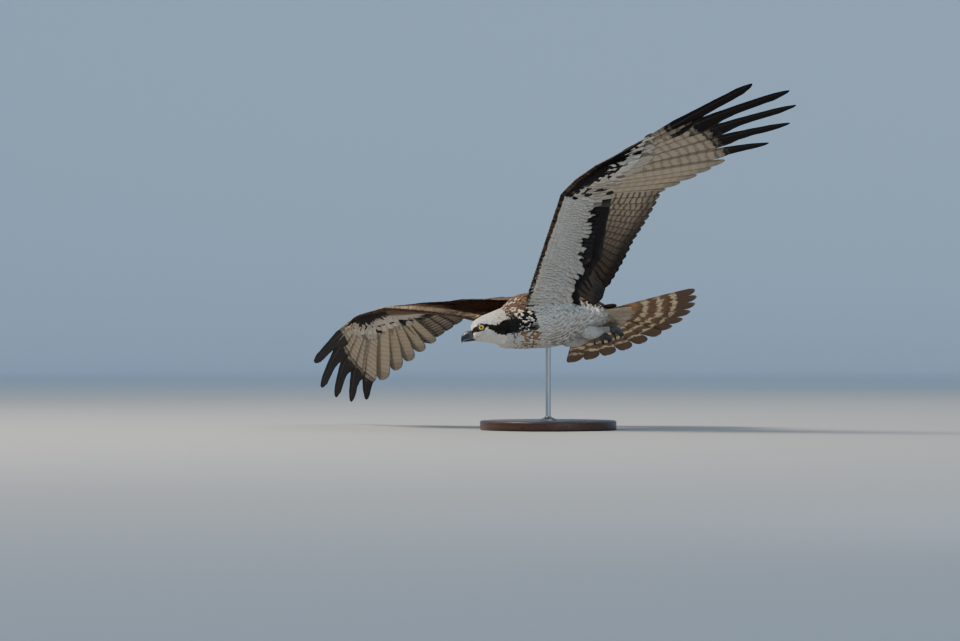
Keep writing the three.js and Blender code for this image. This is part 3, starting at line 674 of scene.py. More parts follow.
def piece_from_arrays(name, points, loops, totals):
    """A smooth piece from points of the bird, the corners of all faces and each face's count."""
    mesh = bpy.data.meshes.new(name)
    mesh.vertices.add(len(points))
    write(mesh.vertices, "co", to_row(points))
    mesh.loops.add(len(loops))
    mesh.loops.foreach_set("vertex_index", np.asarray(loops, np.int32))
    mesh.polygons.add(len(totals))
    starts = np.concatenate([[0], np.cumsum(totals)[:-1]])
    mesh.polygons.foreach_set("loop_start", starts.astype(np.int32))
    mesh.update(calc_edges=True)
    mesh.polygons.foreach_set("use_smooth", np.ones(len(totals), bool))
    piece = bpy.data.objects.new(name, mesh)
    bpy.context.collection.objects.link(piece)
    return piece


def joined_leaves(name, template, root, tip, normal, width, bend, colour, edge, bake_place):
    """One mesh of many leaves. Lengths are in the bird's millimetres; arrays hold one row each."""
    points, faces = template
    count, size = len(root), len(points)
    along = tip - root
    across = unit(np.cross(normal, along))
    normal = unit(np.cross(along, across))
    t, c, w, crown, half = (points[:, k][None, :, None] for k in range(5))
    length = np.linalg.norm(along, axis=1)[:, None, None]
    width, bend = width[:, None, None], bend[:, None, None]
    place = (root[:, None, :] + along[:, None, :] * t + across[:, None, :] * c * w * width / 2
             + normal[:, None, :] * (bend * length * 4 * t * (1 - t) + crown * w * width * LEAF_CROWN
                                     + half * (1 - 0.6 * t)))
    loops = np.concatenate([np.array(f) for f in faces])
    all_loops = (loops[None, :] + np.arange(count)[:, None] * size).reshape(-1)
    all_totals = np.tile([len(f) for f in faces], count)
    piece = piece_from_arrays(name, place.reshape(-1, 3), all_loops, all_totals)
    mesh = piece.data
    paint = np.c_[np.repeat(colour, size, axis=0), np.ones(count * size)]
    write(mesh.color_attributes.new("plumage", "FLOAT_COLOR", "POINT").data, "color", paint)
    write(mesh.attributes.new("fringe", "FLOAT", "POINT").data, "value", np.repeat(edge, size))
    on_leaf = np.c_[points[loops, 0], points[loops, 1] * 0.5 + 0.5]
    write(mesh.uv_layers.new(name="feather").data, "uv", np.tile(on_leaf, (count, 1)))
    patch = (on_leaf - 0.5) * BAKE_PATCH
    write(mesh.uv_layers.new(name="OFBake").data, "uv", bake_place[:, None, :] + patch[None])
    return piece


skin_tree = KDTree(len(skin.data.polygons))
for polygon in skin.data.polygons:
    skin_tree.insert(polygon.center, polygon.index)
skin_tree.balance()
skin_map = skin.data.uv_layers["OFBake"].data


def bake_places(root):
    """Where each root lies on the unwrap of the skin."""
    places = []
    for point in to_row(root):
        polygon = skin.data.polygons[skin_tree.find(point)[1]]
        places.append(skin_map[polygon.loop_start].uv[:])
    return np.array(places)


print("small leaf faces:", len(SMALL_LEAF[1]), "large leaf faces:", len(LARGE_LEAF[1]))


# %% [markdown]
# An osprey is dark brown above and white below. A black-brown stripe runs from the bill through
# the eye and down the side of the neck, the crown is white and the nape streaked. All of that is
# written as soft masks over the bird's own measures, so that the skin, the small feathers and
# both sides follow one rule. A cheap repeating noise breaks the edges up, as feathers do.

# %% Markings of the body
WHITE = np.array(linear("e8e4db"))
CREAM = np.array(linear("dccdb2"))
TAN = np.array(linear("b5a088"))
BUFF = np.array(linear("a98a66"))
UMBER = np.array(linear("7b604b"))
BROWN = np.array(linear("4f3c2f"))
DARK = np.array(linear("1c1311"))
GREY = np.array(linear("9a9184"))

EYE_AHEAD, EYE_SIDE, EYE_UP, EYE_RADIUS = 2.5, 11.6, -1.5, 9.5
EYE_OPENING = 5.2  # radius of the gap between the lids
STRIPE_AHEAD = (-75, -50, -30, -20, -10, 0, 8, 14, 20)  # places ahead of the eyes
STRIPE_CENTRE = (-11, -11, -11, -9.5, -5, -1.5, -2, -3.5, -6)  # heights of the stripe there
STRIPE_HALF = (19, 16.5, 11.5, 8.5, 5.6, 5.8, 5.6, 5.2, 4)  # and half its width


def blend(a, b, t):
    t = np.clip(np.asarray(t), 0, 1)[..., None]
    return a * (1 - t) + b * t


def soft(x, low, high):
    t = np.clip((np.asarray(x, float) - low) / (high - low), 0, 1)
    return t * t * (3 - 2 * t)


def ripple(points, scale, seed=0.0):
    """A smooth pseudo-random value from -1 to 1 at each point; scale is its grain in mm."""
    p = np.asarray(points) / scale + seed
    x, y, z = p[..., 0], p[..., 1], p[..., 2]
    return (np.sin(2.1 * x + 1.3 * np.sin(1.7 * y + seed)) + np.sin(2.3 * y + 1.1 * np.sin(1.9 * z))
            + np.sin(1.9 * z + 1.2 * np.sin(2.2 * x + 0.5))) / 3


def head_measures(points):
    local = (points - HEAD_PLACE) @ HEAD_FRAME
    return -local[..., 1], np.abs(local[..., 0]), local[..., 2]


def body_colour(points, angle, chance):
    """Colour at points of the bird's surface; angle is 0 at its left flank, 90 on its back.

    Chance is a number from -1 to 1 for each feather, which breaks every edge into streaks."""
    back = points[..., 1]
    high = np.sin(np.radians(angle))
    rough = ripple(points, 9)
    above = soft(high + rough * 0.08 + chance * 0.05, 0.34, 0.42)
    upper = blend(UMBER, BROWN, 0.6 + 0.5 * chance)
    colour = blend(WHITE, upper, above)
    colour = blend(colour, TAN, soft(back + 8 * chance, 118, 150) * (1 - above) * 0.85)
    # Breast band: streaked, with a clean rear edge that leans forward from the flank to the back
    edge = np.interp(high, (-1, -0.85, -0.5, 0, 1), (-60, -70, -85, -90, -90))
    band = soft(edge - back + chance * 3, 0, 4)
    share = np.interp(high, (-1, -0.9, -0.75, -0.6, 0.1, 0.45, 1), (-0.1, 0.4, 0.5, 0.3, 0.35, 0.5, 0.6))
    share = share - 0.9 * soft(-back, 100, 116) * (1 - soft(high, -0.75, -0.5))
    streak = blend(BUFF, blend(DARK, BROWN, soft(high, 0.2, 0.5)), soft(high, -0.72, -0.45))
    ground = blend(WHITE, CREAM, soft(high, -0.1, 0.5))
    colour = blend(colour, blend(ground, streak, soft(share - chance, -0.2, 0.2)), band)
    # Head: white crown that turns streaky on the nape, and the stripe through the eye
    ahead, left, up = head_measures(points)
    crown = blend(WHITE, CREAM, 0.5 * soft(-ahead + 6 * chance, 14, 40))
    nape = soft(-ahead, 36, 58) * 1.5 - 0.95
    crown = blend(crown, UMBER, soft(nape - chance, -0.2, 0.2))
    on_crown = blend(WHITE, crown, soft(up + rough, 2, 7))
    colour = blend(colour, on_crown, soft(ahead + 4 * chance, -62, -50))
    centre = np.interp(ahead, STRIPE_AHEAD, STRIPE_CENTRE)
    half = np.interp(ahead, STRIPE_AHEAD, STRIPE_HALF)
    off_centre = np.abs(up - centre) + rough * 1.5 + chance * half * 0.16
    stripe = 1 - soft(off_centre, half * 0.86, half * 1.04)
    stripe *= soft(left, 4, 9) * soft(ahead + 11 * chance, -90, -72)
    gap = np.hypot(ahead - EYE_AHEAD, up - EYE_UP)
    crescent = soft(gap, 6.4, 7.2) * (1 - soft(gap, 8.8, 10)) * soft(EYE_UP - up, 1, 3.5)
    stripe *= 1 - crescent * soft(EYE_AHEAD - ahead, 1, 3.5) * soft(left, 4, 9)
    return blend(colour, DARK, stripe)


print("belly colour", body_colour(np.array([[0, 0, -47.0]]), np.array([-90.0]), np.zeros(1)).round(2))


# %% [markdown]
# The small feathers of the body grow in rows, like tiles, each row half a feather out of step
# with the last. They are long and loose on the belly and back, short on the neck, and only a few
# millimetres long on the face. Those of the breast and nape are narrow, as their streaks are.
# Each root is sunk to the skin and each tip lies at the surface of the plumage, pointing to the
# tail. The openings of the eyes stay bare.

# %% Body feathers
rng = np.random.default_rng(11)
ROW_LENGTHS = (26, 27, 27, 26, 26, 26, 25, 22, 17, 13, 10.5, 9.5, 7.6, 6, 4.8, 4, 3.2, 2.6)
ROW_STEP = 0.27  # from one row to the next, as a share of a feather's length

ring_count = len(plumage_rings)
ring_middles = plumage_rings.mean(axis=1)
ring_reach = np.concatenate([[0], np.cumsum(np.linalg.norm(np.diff(ring_middles, axis=0), axis=1))])
ring_row = np.arange(ring_count) / 8
ring_girth = np.linalg.norm(np.diff(plumage_rings, axis=1, append=plumage_rings[:, :1]), axis=2).sum(1)
skin_rings = body_surface(COAT_DEPTH)


def on_rings(rings, place, angle):
    """A point at a distance along the rings and an angle round them."""
    at = np.interp(place, ring_reach, np.arange(ring_count))
    low = np.clip(np.floor(at).astype(int), 0, ring_count - 2)
    f = (at - low)[:, None]
    turn = (angle % 360) / 360 * RING_POINTS
    j = np.floor(turn).astype(int) % RING_POINTS
    g = (turn - np.floor(turn))[:, None]
    k = (j + 1) % RING_POINTS
    near = rings[low, j] * (1 - g) + rings[low, k] * g
    far = rings[low + 1, j] * (1 - g) + rings[low + 1, k] * g
    return near * (1 - f) + far * f


def body_feather_places(start, end):
    places, angles, lengths = [], [], []
    place, odd = start, 0
    while place < end:
        length = np.interp(np.interp(place, ring_reach, ring_row), range(len(ROW_LENGTHS)), ROW_LENGTHS)
        girth = np.interp(place, ring_reach, ring_girth)
        count = int(girth / (length * ROW_STEP))
        turn = (np.arange(count) + 0.5 * odd) / count * 360
        places.append(np.full(count, place) + rng.uniform(-0.12, 0.12, count) * length)
        angles.append(turn + rng.uniform(-0.3, 0.3, count) * 360 / count)
        lengths.append(length * rng.uniform(0.88, 1.14, count))
        place += length * ROW_STEP
        odd = 1 - odd
    return map(np.concatenate, (places, angles, lengths))


def body_feathers(name, start, end):
    place, angle, length = body_feather_places(start, end)
    root_on_top = on_rings(plumage_rings, place, angle)
    tip = on_rings(plumage_rings, np.maximum(place - length, 0), angle)
    inside = on_rings(skin_rings, place, angle)
    root = inside * 0.75 + root_on_top * 0.25
    normal = unit(root_on_top - inside)
    ahead, left, up = head_measures(root_on_top)
    eye_gap = np.hypot(ahead - EYE_AHEAD, up - EYE_UP)
    tip_ahead, _, tip_up = head_measures(tip)
    tip_gap = np.hypot(tip_ahead - EYE_AHEAD, tip_up - EYE_UP)
    on_eye = (left > 8) & ((eye_gap < EYE_OPENING + 0.6) | (tip_gap < EYE_OPENING - 0.2))
    keep = ~on_eye
    place, angle, length, root, tip, normal, root_on_top = (
        a[keep] for a in (place, angle, length, root, tip, normal, root_on_top))
    tip = tip + normal * rng.uniform(-0.3, 0.5, len(tip))[:, None] * length[:, None] * 0.02
    colour = body_colour(root_on_top * 0.4 + tip * 0.6, angle, rng.uniform(-1, 1, len(tip)))
    shade = rng.uniform(0.93, 1.04, len(tip))
    light = colour.mean(axis=1)
    row = np.interp(place, ring_reach, ring_row)
    slim = np.interp(row, (6.3, 7.2, 10.5, 12), (0.62, 0.36, 0.36, 0.6))
    width = length * slim * rng.uniform(0.9, 1.1, len(tip))
    fringe = np.where(light < 0.12, 0.5 * soft(light, 0.01, 0.04), -0.05)
    return joined_leaves(name, SMALL_LEAF, root, tip, normal, width, np.full(len(tip), 0.03),
                         colour * shade[:, None], fringe, bake_places(root))


NECK_REACH = float(np.interp(8.4, ring_row, ring_reach))
FACE_REACH = float(np.interp(11.6, ring_row, ring_reach))
body_coat = [body_feathers("body_feathers", 14, NECK_REACH),
             body_feathers("neck_feathers", NECK_REACH, FACE_REACH),
             body_feathers("head_feathers", FACE_REACH, ring_reach[-1] + 0.2)]
for piece in body_coat:
    print(piece.name, "faces:", len(piece.data.polygons))


# %% [markdown]
# Flight feathers are the bird's outline, so each is a closed vane of its own, with a raised
# shaft, a thin edge and an outer web narrower than the inner one. The five outer primaries are
# notched: broad at the base and then narrow, which opens the wing tip into fingers. Each vane
# tells its material how far along and across every point lies, and how dark it turns and where.

# %% Flight feather vane
SECONDARY_VANE = ((0.02, 2, 2), (0.1, 6, 9), (0.3, 10, 17), (0.6, 11, 20), (0.88, 11, 20),
                  (0.95, 9.5, 17), (0.985, 6.5, 11), (1, 2, 3))
INNER_PRIMARY_VANE = ((0.02, 2, 2), (0.1, 5, 9), (0.3, 8.5, 17), (0.6, 9, 19), (0.88, 9, 18),
                      (0.95, 7.5, 14), (0.985, 4.5, 8), (1, 1.2, 2))
TAIL_VANE = ((0.02, 2, 2), (0.15, 6, 9), (0.4, 9, 17), (0.7, 11, 21), (0.9, 11, 22),
             (0.955, 10, 18), (0.985, 7, 11), (1, 2.5, 3.5))
FINGER_NOTCHES = (0.78, 0.74, 0.68, 0.62, 0.55)
FINGER_BOWS = (8, 10, 11, 10, 2)  # how far each finger curves forward at its middle
FINGER_COUNT = len(FINGER_NOTCHES)


def finger_vane(notch):
    return ((0.02, 2, 2), (0.08, 3.5, 8), (0.18, 6, 14), (notch - 0.12, 9.5, 25),
            (notch - 0.05, 9, 22), (notch, 8.5, 16), (notch + 0.07, 7.8, 12.5), (0.91, 6.6, 10.5),
            (0.96, 4.4, 7), (0.985, 2.9, 4.6), (1, 1, 1.5))


def stations_of(count):
    """Places along a vane, closer together towards its tip."""
    t = np.linspace(0, 1, count)
    return 1 - (1 - t) ** 1.35


def vane_arrays(shaft, outline, lift, count, columns, tilt=VANE_TILT, bow=0.0, room=None):
    """Points, faces and feather places of one closed vane in the bird's millimetres."""
    outline = np.asarray(outline)
    t = outline[0, 0] + (1 - outline[0, 0]) * stations_of(count)
    outer = np.interp(t, outline[:, 0], outline[:, 1])
    inner = np.interp(t, outline[:, 0], outline[:, 2])
    span = t * shaft["length"]
    if room is not None:
        inner = np.minimum(inner, room(span))
    wobble = ripple(np.stack([span, span * 0.7, np.full(count, shaft["order"] * 9.0)], 1), 11)
    outer, inner = outer + wobble * 0.35, inner - wobble * 0.5
    c = np.asarray(columns, float)
    reach_out = (np.where(c > 0, c, 0)[None] * outer[:, None] + np.where(c < 0, c, 0)[None] * inner[:, None]
                 + bow * np.sin(math.pi * t)[:, None])
    thin = (1 - np.abs(c))
    ridge = (np.abs(c) < 0.02) * 1.0
    fade = (1 - 0.75 * t)[:, None]
    top = 0.1 * (thin > 0) + 0.35 * ridge[None] * fade
    low = -0.1 * (thin > 0) - 0.75 * ridge[None] * fade
    middle = lift + reach_out * tilt - np.abs(c)[None] ** 2 * 0.9
    ring_c = np.concatenate([np.arange(len(c)), np.arange(len(c) - 2, 0, -1)])
    is_top = np.arange(len(ring_c)) < len(c)
    height = np.where(is_top[None], (middle + top)[:, ring_c], (middle + low)[:, ring_c])
    at = shaft["root"] + shaft["along"] * span[:, None]
    points = (at[:, None, :] + shaft["across"] * reach_out[:, ring_c, None]
              + shaft["normal"] * height[..., None])
    size = len(ring_c)
    feather = np.stack([np.repeat(t[:, None], size, 1), np.repeat(c[ring_c][None], count, 0)], -1)
    faces = []
    flip = np.dot(np.cross(shaft["along"], shaft["across"]), shaft["normal"]) < 0
    for i in range(count - 1):
        for j in range(size):
            a, b = i * size + j, i * size + (j + 1) % size
            faces.append(((a, a + size, b + size, b), j < len(c) - 1))
    faces.append((tuple(range(size)), True))
    faces.append((tuple((count - 1) * size + j for j in range(size))[::-1], True))
    faces = [(f if not flip else f[::-1], top_side) for f, top_side in faces]
    return points.reshape(-1, 3), feather.reshape(-1, 2), faces


def joined_vanes(name, vanes):
    """One mesh of many vanes; each is (arrays, settings), and settings become attributes."""
    points, loops, totals, feather, bake, upper = [], [], [], [], [], []
    extra = {key: [] for key in vanes[0][1]}
    offset = 0
    for index, ((verts, places, faces), settings) in enumerate(vanes):
        points.append(verts)
        strip = 0.97 / len(vanes)
        for face, top_side in faces:
            loops.extend(v + offset for v in face)
            totals.append(len(face))
            upper.extend([1.0 if top_side else 0.0] * len(face))
            feather.append(places[list(face)] * (1, 0.5) + (0, 0.5))
            on = places[list(face)] * (0.485, 0.46) * (1, 0.5)
            half = 0.01 if top_side else 0.505
            bake.append(np.c_[half + on[:, 0], 0.015 + strip * (index + 0.5 + on[:, 1])])
        for key, value in settings.items():
            extra[key].append(np.full(len(verts), value, np.float32))
        offset += len(verts)
    piece = piece_from_arrays(name, np.concatenate(points), loops, totals)
    mesh = piece.data
    for key, values in extra.items():
        write(mesh.attributes.new(key, "FLOAT", "POINT").data, "value", np.concatenate(values))
    write(mesh.attributes.new("upper_face", "FLOAT", "CORNER").data, "value", upper)
    write(mesh.uv_layers.new(name="feather").data, "uv", np.concatenate(feather))
    write(mesh.uv_layers.new(name="OFBake").data, "uv", np.concatenate(bake))
    return piece


VANE_COLUMNS = (-1, -0.8, -0.55, -0.3, -0.07, 0, 0.14, 0.45, 0.75, 1)
VANE_STATIONS = 46
print("faces in one vane:", (VANE_STATIONS - 1) * (2 * len(VANE_COLUMNS) - 2))


# %% [markdown]
# The wings' thirty feathers each. Secondaries are barred grey-brown, paler towards the wrist, with
# a dark rear edge. The inner primaries are pale below with no black, and the five fingers turn
# black, the further out the earlier.

# %% Flight feathers of both wings
BLACK_FROM = (1.3, 1.3, 1.3, 1.3, 1.2, 0.76, 0.63, 0.56, 0.47, 0.38)  # share of each primary


def flight_settings(shaft, i):
    if shaft["group"] == "primary":
        bars = 0.16 if i < 5 else 0.34
        return {"black_from": BLACK_FROM[i], "bars": bars, "bar_count": shaft["length"] / 17,
                "pale": 0.8 if i < 5 else 0.68}
    outward = (shaft["order"] - TERTIAL_COUNT) / (SECONDARY_COUNT - 1)
    return {"black_from": 1.2, "bars": 0.5 + 0.3 * max(outward, 0), "bar_count": shaft["length"] / 13,
            "pale": float(np.interp(outward, (-0.2, 0.3, 0.6, 1), (0, 0.08, 0.35, 0.72)))}


flights = {}
for name, part in wings.items():
    vanes = []
    for order, shaft in enumerate(part["shafts"]):
        i = max(order - ORDER_WRIST, 0)
        finger = i - (len(PRIMARY_LENGTHS) - FINGER_COUNT)
        outline, bow = SECONDARY_VANE, 0.0
        if shaft["group"] == "primary":
            outline = INNER_PRIMARY_VANE
        if shaft["group"] == "primary" and finger >= 0:
            outline, bow = finger_vane(FINGER_NOTCHES[finger]), FINGER_BOWS[finger]
        settings = flight_settings(shaft, i)
        settings["tone"] = float(rng.uniform(-1, 1))
        vanes.append((vane_arrays(shaft, outline, shaft["lift"], VANE_STATIONS, VANE_COLUMNS, bow=bow),
                      settings))
    flights[name] = joined_vanes(f"wing_{name}_flight_feathers", vanes)
    print(name, "flight feather faces:", len(flights[name].data.polygons))


# %% [markdown]
# The tail is a fan of twelve. The middle pair lies on top and each next pair is tucked below, and
# none but the top pair crosses the middle. The fan droops a little and is slightly twisted, as a
# gliding bird steers with it.

# %% Tail
TAIL_LENGTH, TAIL_HALF_SPREAD, TAIL_COUNT = 208, 54.5, 12
TAIL_ROOT, TAIL_ROOT_HALF = (0, 122, 13), 14
TAIL_DROOP, TAIL_ROLL, TAIL_TURN = 12.5, -3.5, -3.4
GAP = 0.3


def tail_shafts():
    turn = turned("Z", TAIL_TURN) @ turned("X", -TAIL_DROOP) @ turned("Y", TAIL_ROLL)
    normal = turn @ (0, 0, 1)
    shafts = []
    for i in range(TAIL_COUNT):
        x = 2 * i / (TAIL_COUNT - 1) - 1
        side = 1 if x > 0 else -1
        angle = math.radians(x * TAIL_HALF_SPREAD)
        along = turn @ (math.sin(angle), math.cos(angle), 0)
        pair = int(abs(i + 0.5 - TAIL_COUNT / 2))
        shafts.append(dict(root=np.array([TAIL_ROOT[0] + TAIL_ROOT_HALF * x, *TAIL_ROOT[1:]], float),
                           along=along, normal=normal, across=np.cross(along, normal) * side,
                           length=TAIL_LENGTH * (1 - 0.03 * x * x), pair=pair, order=i, x=x,
                           below=pair + 1 if pair > 0 else (1 - side) / 2, spread=abs(angle)))
    return shafts


def tail_room(shaft):
    middle = TAIL_ROOT_HALF * (2 * shaft["pair"] + 1) / (TAIL_COUNT - 1)
    if shaft["pair"] == 0:
        return None
    return lambda span: middle + span * math.sin(shaft["spread"]) - GAP


fan = tail_shafts()
vanes = []
for shaft in fan:
    lift = 3 - shaft["below"] * VANE_PITCH
    arrays = vane_arrays(shaft, TAIL_VANE, lift, VANE_STATIONS, VANE_COLUMNS, tilt=0.0,
                         room=tail_room(shaft))
    vanes.append((arrays, {"black_from": 0.84, "bars": 1.0, "bar_count": 7.2, "pale": 1.0,
                           "tone": float(rng.uniform(-1, 1))}))
tail_feathers = joined_vanes("tail_feathers", vanes)
print("tail faces:", len(tail_feathers.data.polygons))


# %% [markdown]
# Coverts roof the base of the flight feathers above and below. They stand in tiers: tiny ones
# along the leading edge, then longer and longer rows, and last the greater coverts, one to each
# flight feather. Each tier's tip is laid down to the level of what is behind it, so the wing
# stays one smooth surface. Below, the wing's lining is off-white, with a thin dark leading edge,
# black at the wrist and a black band along the greater coverts. On the right wing the brown below
# the leading edge reaches further back, as painted shade on the far wing's underside. Above, all
# is brown with pale fringes.

# %% Wing coverts
CARPAL_PLACES = (18.8, 19.6, 20.5, 22, 23.5, 24.5, 26.5, 28, 29, 29.6, 30)  # orders along the wing
CARPAL_REACH = (0, 0.12, 0.26, 0.32, 0.48, 0.62, 0.8, 0.95, 1.1, 1.1, 0.7)  # of the chord, dark there


def covert_colour(q, v, face, tier, points, chance, brown_edge_and_shade):
    """Colours at order q along the wing and place v of its chord, by face and tier."""
    rough = ripple(points, 8, 2)
    if face > 0:
        colour = blend(UMBER, BROWN, 0.75 * soft(v + 0.2 * chance, 0.2, 1.0))
        return blend(colour, CREAM, (0.42 + 0.38 * chance) * (1 - soft(v + 0.04 * chance, 0.05, 0.16)))
    colour = blend(WHITE, TAN, 0.25 + 0.15 * soft(v, 0.3, 0.8)) * np.ones((len(q), 1))
    # Brown along the leading edge below: a thin real edge on the left wing, and on the right wing a wider
    # band of painted shade.
    colour = blend(colour, UMBER, 1 - soft(v + 0.02 * chance, 0.5 * brown_edge_and_shade, brown_edge_and_shade))
    reach = np.interp(q, CARPAL_PLACES, CARPAL_REACH)
    streaky = 0.06 + 0.24 * soft(q, 23, 26)
    carpal = soft(reach + streaky * (chance - 0.3) + 0.03 * rough - v, -0.02, 0.02) * (reach > 0.01)
    colour = blend(colour, DARK, carpal)
    near_carpal = (q > 18.5) & (q < 28) & (v < reach + 0.65)
    colour = blend(colour, DARK, near_carpal * soft(chance, 0.74, 0.78))
    if tier == "greater":
        colour = blend(colour, GREY, 0.25 + 0.35 * soft(q, ORDER_WRIST - 1, ORDER_WRIST + 1))
        band = 1 - soft(q + 0.8 * chance, 16.2, 17.4)
        spots = (q < ORDER_WRIST) * soft(chance, 0.2, 0.3)
        colour = blend(colour, DARK, np.maximum(band, spots))
    if tier == "rearmost":
        colour = blend(colour, DARK, 1 - soft(q + 0.8 * chance, 16, 17.2))
    if tier == "median":
        spots = (q < 18) * (q > 4) * soft(v, 0.62, 0.75) * soft(chance, 0.7, 0.75)
        colour = blend(colour, DARK, spots)
    return colour


COVERT_TIERS = ((0.0, 7, "marginal"), (0.03, 12, "marginal"), (0.1, 15, "marginal"),
                (0.16, 17, "lesser"), (0.23, 19, "lesser"), (0.3, 21, "lesser"),
                (0.38, 23, "lesser"), (0.46, 26, "lesser"), (0.54, 30, "median"),
                (0.63, 36, "median"), (0.73, 42, "rearmost"))  # place, feather length and name


def covert_size(chord):
    """Feathers shrink where the wing is narrow."""
    return np.minimum(1.0, 0.35 + chord / 130)


def covert_rows(surface, face):
    """Places of the feathers of each tier along the wing."""
    tiers = []
    for v, length, tier in COVERT_TIERS:
        q, place = [], -2.0
        while place < 29.6:
            q.append(place)
            a = surface.point(np.array([place]), np.array([v]), face)[0]
            b = surface.point(np.array([place + 0.2]), np.array([v]), face)[0]
            size = covert_size(np.linalg.norm(surface.chord_frame(np.array([place]))[1][0]))
            place += 0.2 * length * 0.3 * size / max(np.linalg.norm(b - a), 0.4)
        tiers.append((tier, v, length, np.array(q)))
    return tiers


def lay_down(surface, root, q, v_tip, face, along, length):
    """The tip of a covert, brought down to the wing's level behind it."""
    base, normal = surface.shaft("root", q), surface.shaft("normal", q)
    flat_tip = root + along * length[:, None]
    level = ((surface.point(q, np.minimum(v_tip, 1), face) - base) * normal).sum(-1)
    vane_level = surface.shaft("lift", q) + face * 1.6
    behind = soft(v_tip, 0.85, 1.35)
    target = level * (1 - behind) + vane_level * behind
    now = ((flat_tip - base) * normal).sum(-1)
    return flat_tip + normal * (target - now)[:, None]


def covert_coat(name, part, face):
    surface = part["surface"]
    roots, tips, normals, widths, colours, edges = [], [], [], [], [], []
    for tier, v, length, q in covert_rows(surface, face):
        q = q + rng.uniform(-0.05, 0.05, len(q))
        v_here = np.clip(v + rng.uniform(-0.012, 0.012, len(q)), 0, 1)
        chord = np.linalg.norm(surface.chord_frame(q)[1], axis=-1)
        size = covert_size(chord) * rng.uniform(0.9, 1.12, len(q))
        lengths = length * size
        along = surface.shaft("along", q)
        backward = unit(surface.chord_frame(q)[1])
        lean = np.clip(v * 1.4, 0, 1)
        along = unit(along * lean + backward * (1 - lean))
        root = surface.point(q, v_here, face, WING_COAT_DEPTH * 0.8)
        tip = lay_down(surface, root, q, v_here + lengths / chord, face, along, lengths)
        normal = surface.chord_frame(q)[2] * face
        tip = tip + normal * rng.uniform(0.0, 0.12, len(q))[:, None]
        roots.append(root)
        tips.append(tip)
        normals.append(normal)
        widths.append(lengths * (0.7 if v < 0.5 else 0.55))
        middle = root * 0.4 + tip * 0.6
        chance = rng.uniform(-1, 1, len(q))
        colour = covert_colour(q, v_here + 0.6 * lengths / chord, face, tier, middle, chance,
                               part["wing"]["brown_edge_and_shade"]) * rng.uniform(0.93, 1.05, (len(q), 1))
        if face < 0 and v == 0:
            rim = blend(DARK, UMBER, 0.4 + 0.4 * chance)
            colour = blend(colour, rim, soft(q, -1.2, -0.4))
        colours.append(colour)
        edges.append(np.full(len(q), 0.55 if face > 0 else -0.05))
    join = np.concatenate
    root = join(roots)
    return joined_leaves(name, SMALL_LEAF, root, join(tips), join(normals), join(widths),
                         np.full(len(root), 0.012), join(colours), join(edges), bake_places(root))


def greater_coverts(name, part, face):
    surface = part["surface"]
    q = np.arange(0, len(part["shafts"]), 0.5)
    reach = np.where(q < ORDER_WRIST, 0.52, 0.4 - 0.012 * np.maximum(q - ORDER_WRIST, 0))
    reach = reach - (0.04 if face < 0 else 0) + rng.uniform(-0.01, 0.01, len(q))
    length = surface.shaft("length", q)
    along, normal = surface.shaft("along", q), surface.shaft("normal", q)
    base = surface.shaft("root", q)
    root = base + along * (length * 0.2)[:, None] + normal * (face * 3.0)
    lift = surface.shaft("lift", q)
    tip = base + along * (length * reach)[:, None] + normal * (lift + face * 2.0)[:, None]
    middle = root * 0.4 + tip * 0.6
    chance = rng.uniform(-1, 1, len(q))
    colour = covert_colour(q, np.full(len(q), 1.1), face, "greater", middle, chance, 0.02)
    width = np.where(q < ORDER_WRIST, 23, 19) * np.ones(len(q))
    return joined_leaves(name, LARGE_LEAF, root, tip, normal * face, width,
                         np.full(len(q), 0.02), colour * rng.uniform(0.9, 1.08, (len(q), 1)),
                         np.full(len(q), 0.5 if face > 0 else 0.1), bake_places(root))


covert_pieces = {}
for name, part in wings.items():
    covert_pieces[name] = [
        covert_coat(f"wing_{name}_upper_coverts", part, 1.0),
        covert_coat(f"wing_{name}_under_coverts", part, -1.0),
        greater_coverts(f"wing_{name}_greater_coverts_above", part, 1.0),
        greater_coverts(f"wing_{name}_greater_coverts_below", part, -1.0),
    ]
    for piece in covert_pieces[name]:
        print(piece.name, "faces:", len(piece.data.polygons))


# %% [markdown]
# The tail's own coverts hide where the fan leaves the body. Above they are brown and short, below
# they are cream and longer, reaching nearly to the middle of the fan.

# %% Tail coverts
ABOVE = {"tiers": ((0.0, 0.22), (0.04, 0.27)), "root_rise": 5, "tip_rise": 3.6, "fringe": 0.4}
BELOW = {"tiers": ((0.0, 0.33), (0.05, 0.43)), "root_rise": 7, "tip_rise": 7.6, "fringe": 0.1}


def tail_coverts(name, face):
    form = ABOVE if face > 0 else BELOW
    flat = fan[0]["normal"]
    ahead = unit(fan[5]["along"] + fan[6]["along"])
    out = np.cross(ahead, flat)
    roots, tips, colours = [], [], []
    for start, reach in form["tiers"]:
        for k in range(2 * TAIL_COUNT - 1):
            x = k / (TAIL_COUNT - 1) - 1
            angle = math.radians(x * TAIL_HALF_SPREAD * 0.92)
            along = ahead * math.cos(angle) + out * math.sin(angle)
            rise = face * form["root_rise"] * (1 - 0.5 * x * x) + 1
            roots.append(np.array(TAIL_ROOT) + out * TAIL_ROOT_HALF * x * 1.3
                         + along * TAIL_LENGTH * start + flat * rise)
            length = TAIL_LENGTH * reach * (1 - 0.12 * abs(x)) * rng.uniform(0.95, 1.04)
            tips.append(np.array(TAIL_ROOT) + out * TAIL_ROOT_HALF * x + along * length
                        + flat * face * form["tip_rise"])
            tone = rng.random()
            colours.append(blend(BROWN, UMBER, tone) if face > 0 else blend(CREAM, TAN, 0.2 + 0.6 * tone))
    roots, tips = np.array(roots), np.array(tips)
    count = len(roots)
    return joined_leaves(name, LARGE_LEAF, roots, tips, np.repeat(flat[None] * face, count, axis=0),
                         np.full(count, 18.0), np.full(count, 0.03), np.array(colours),
                         np.full(count, form["fringe"]), bake_places(roots))


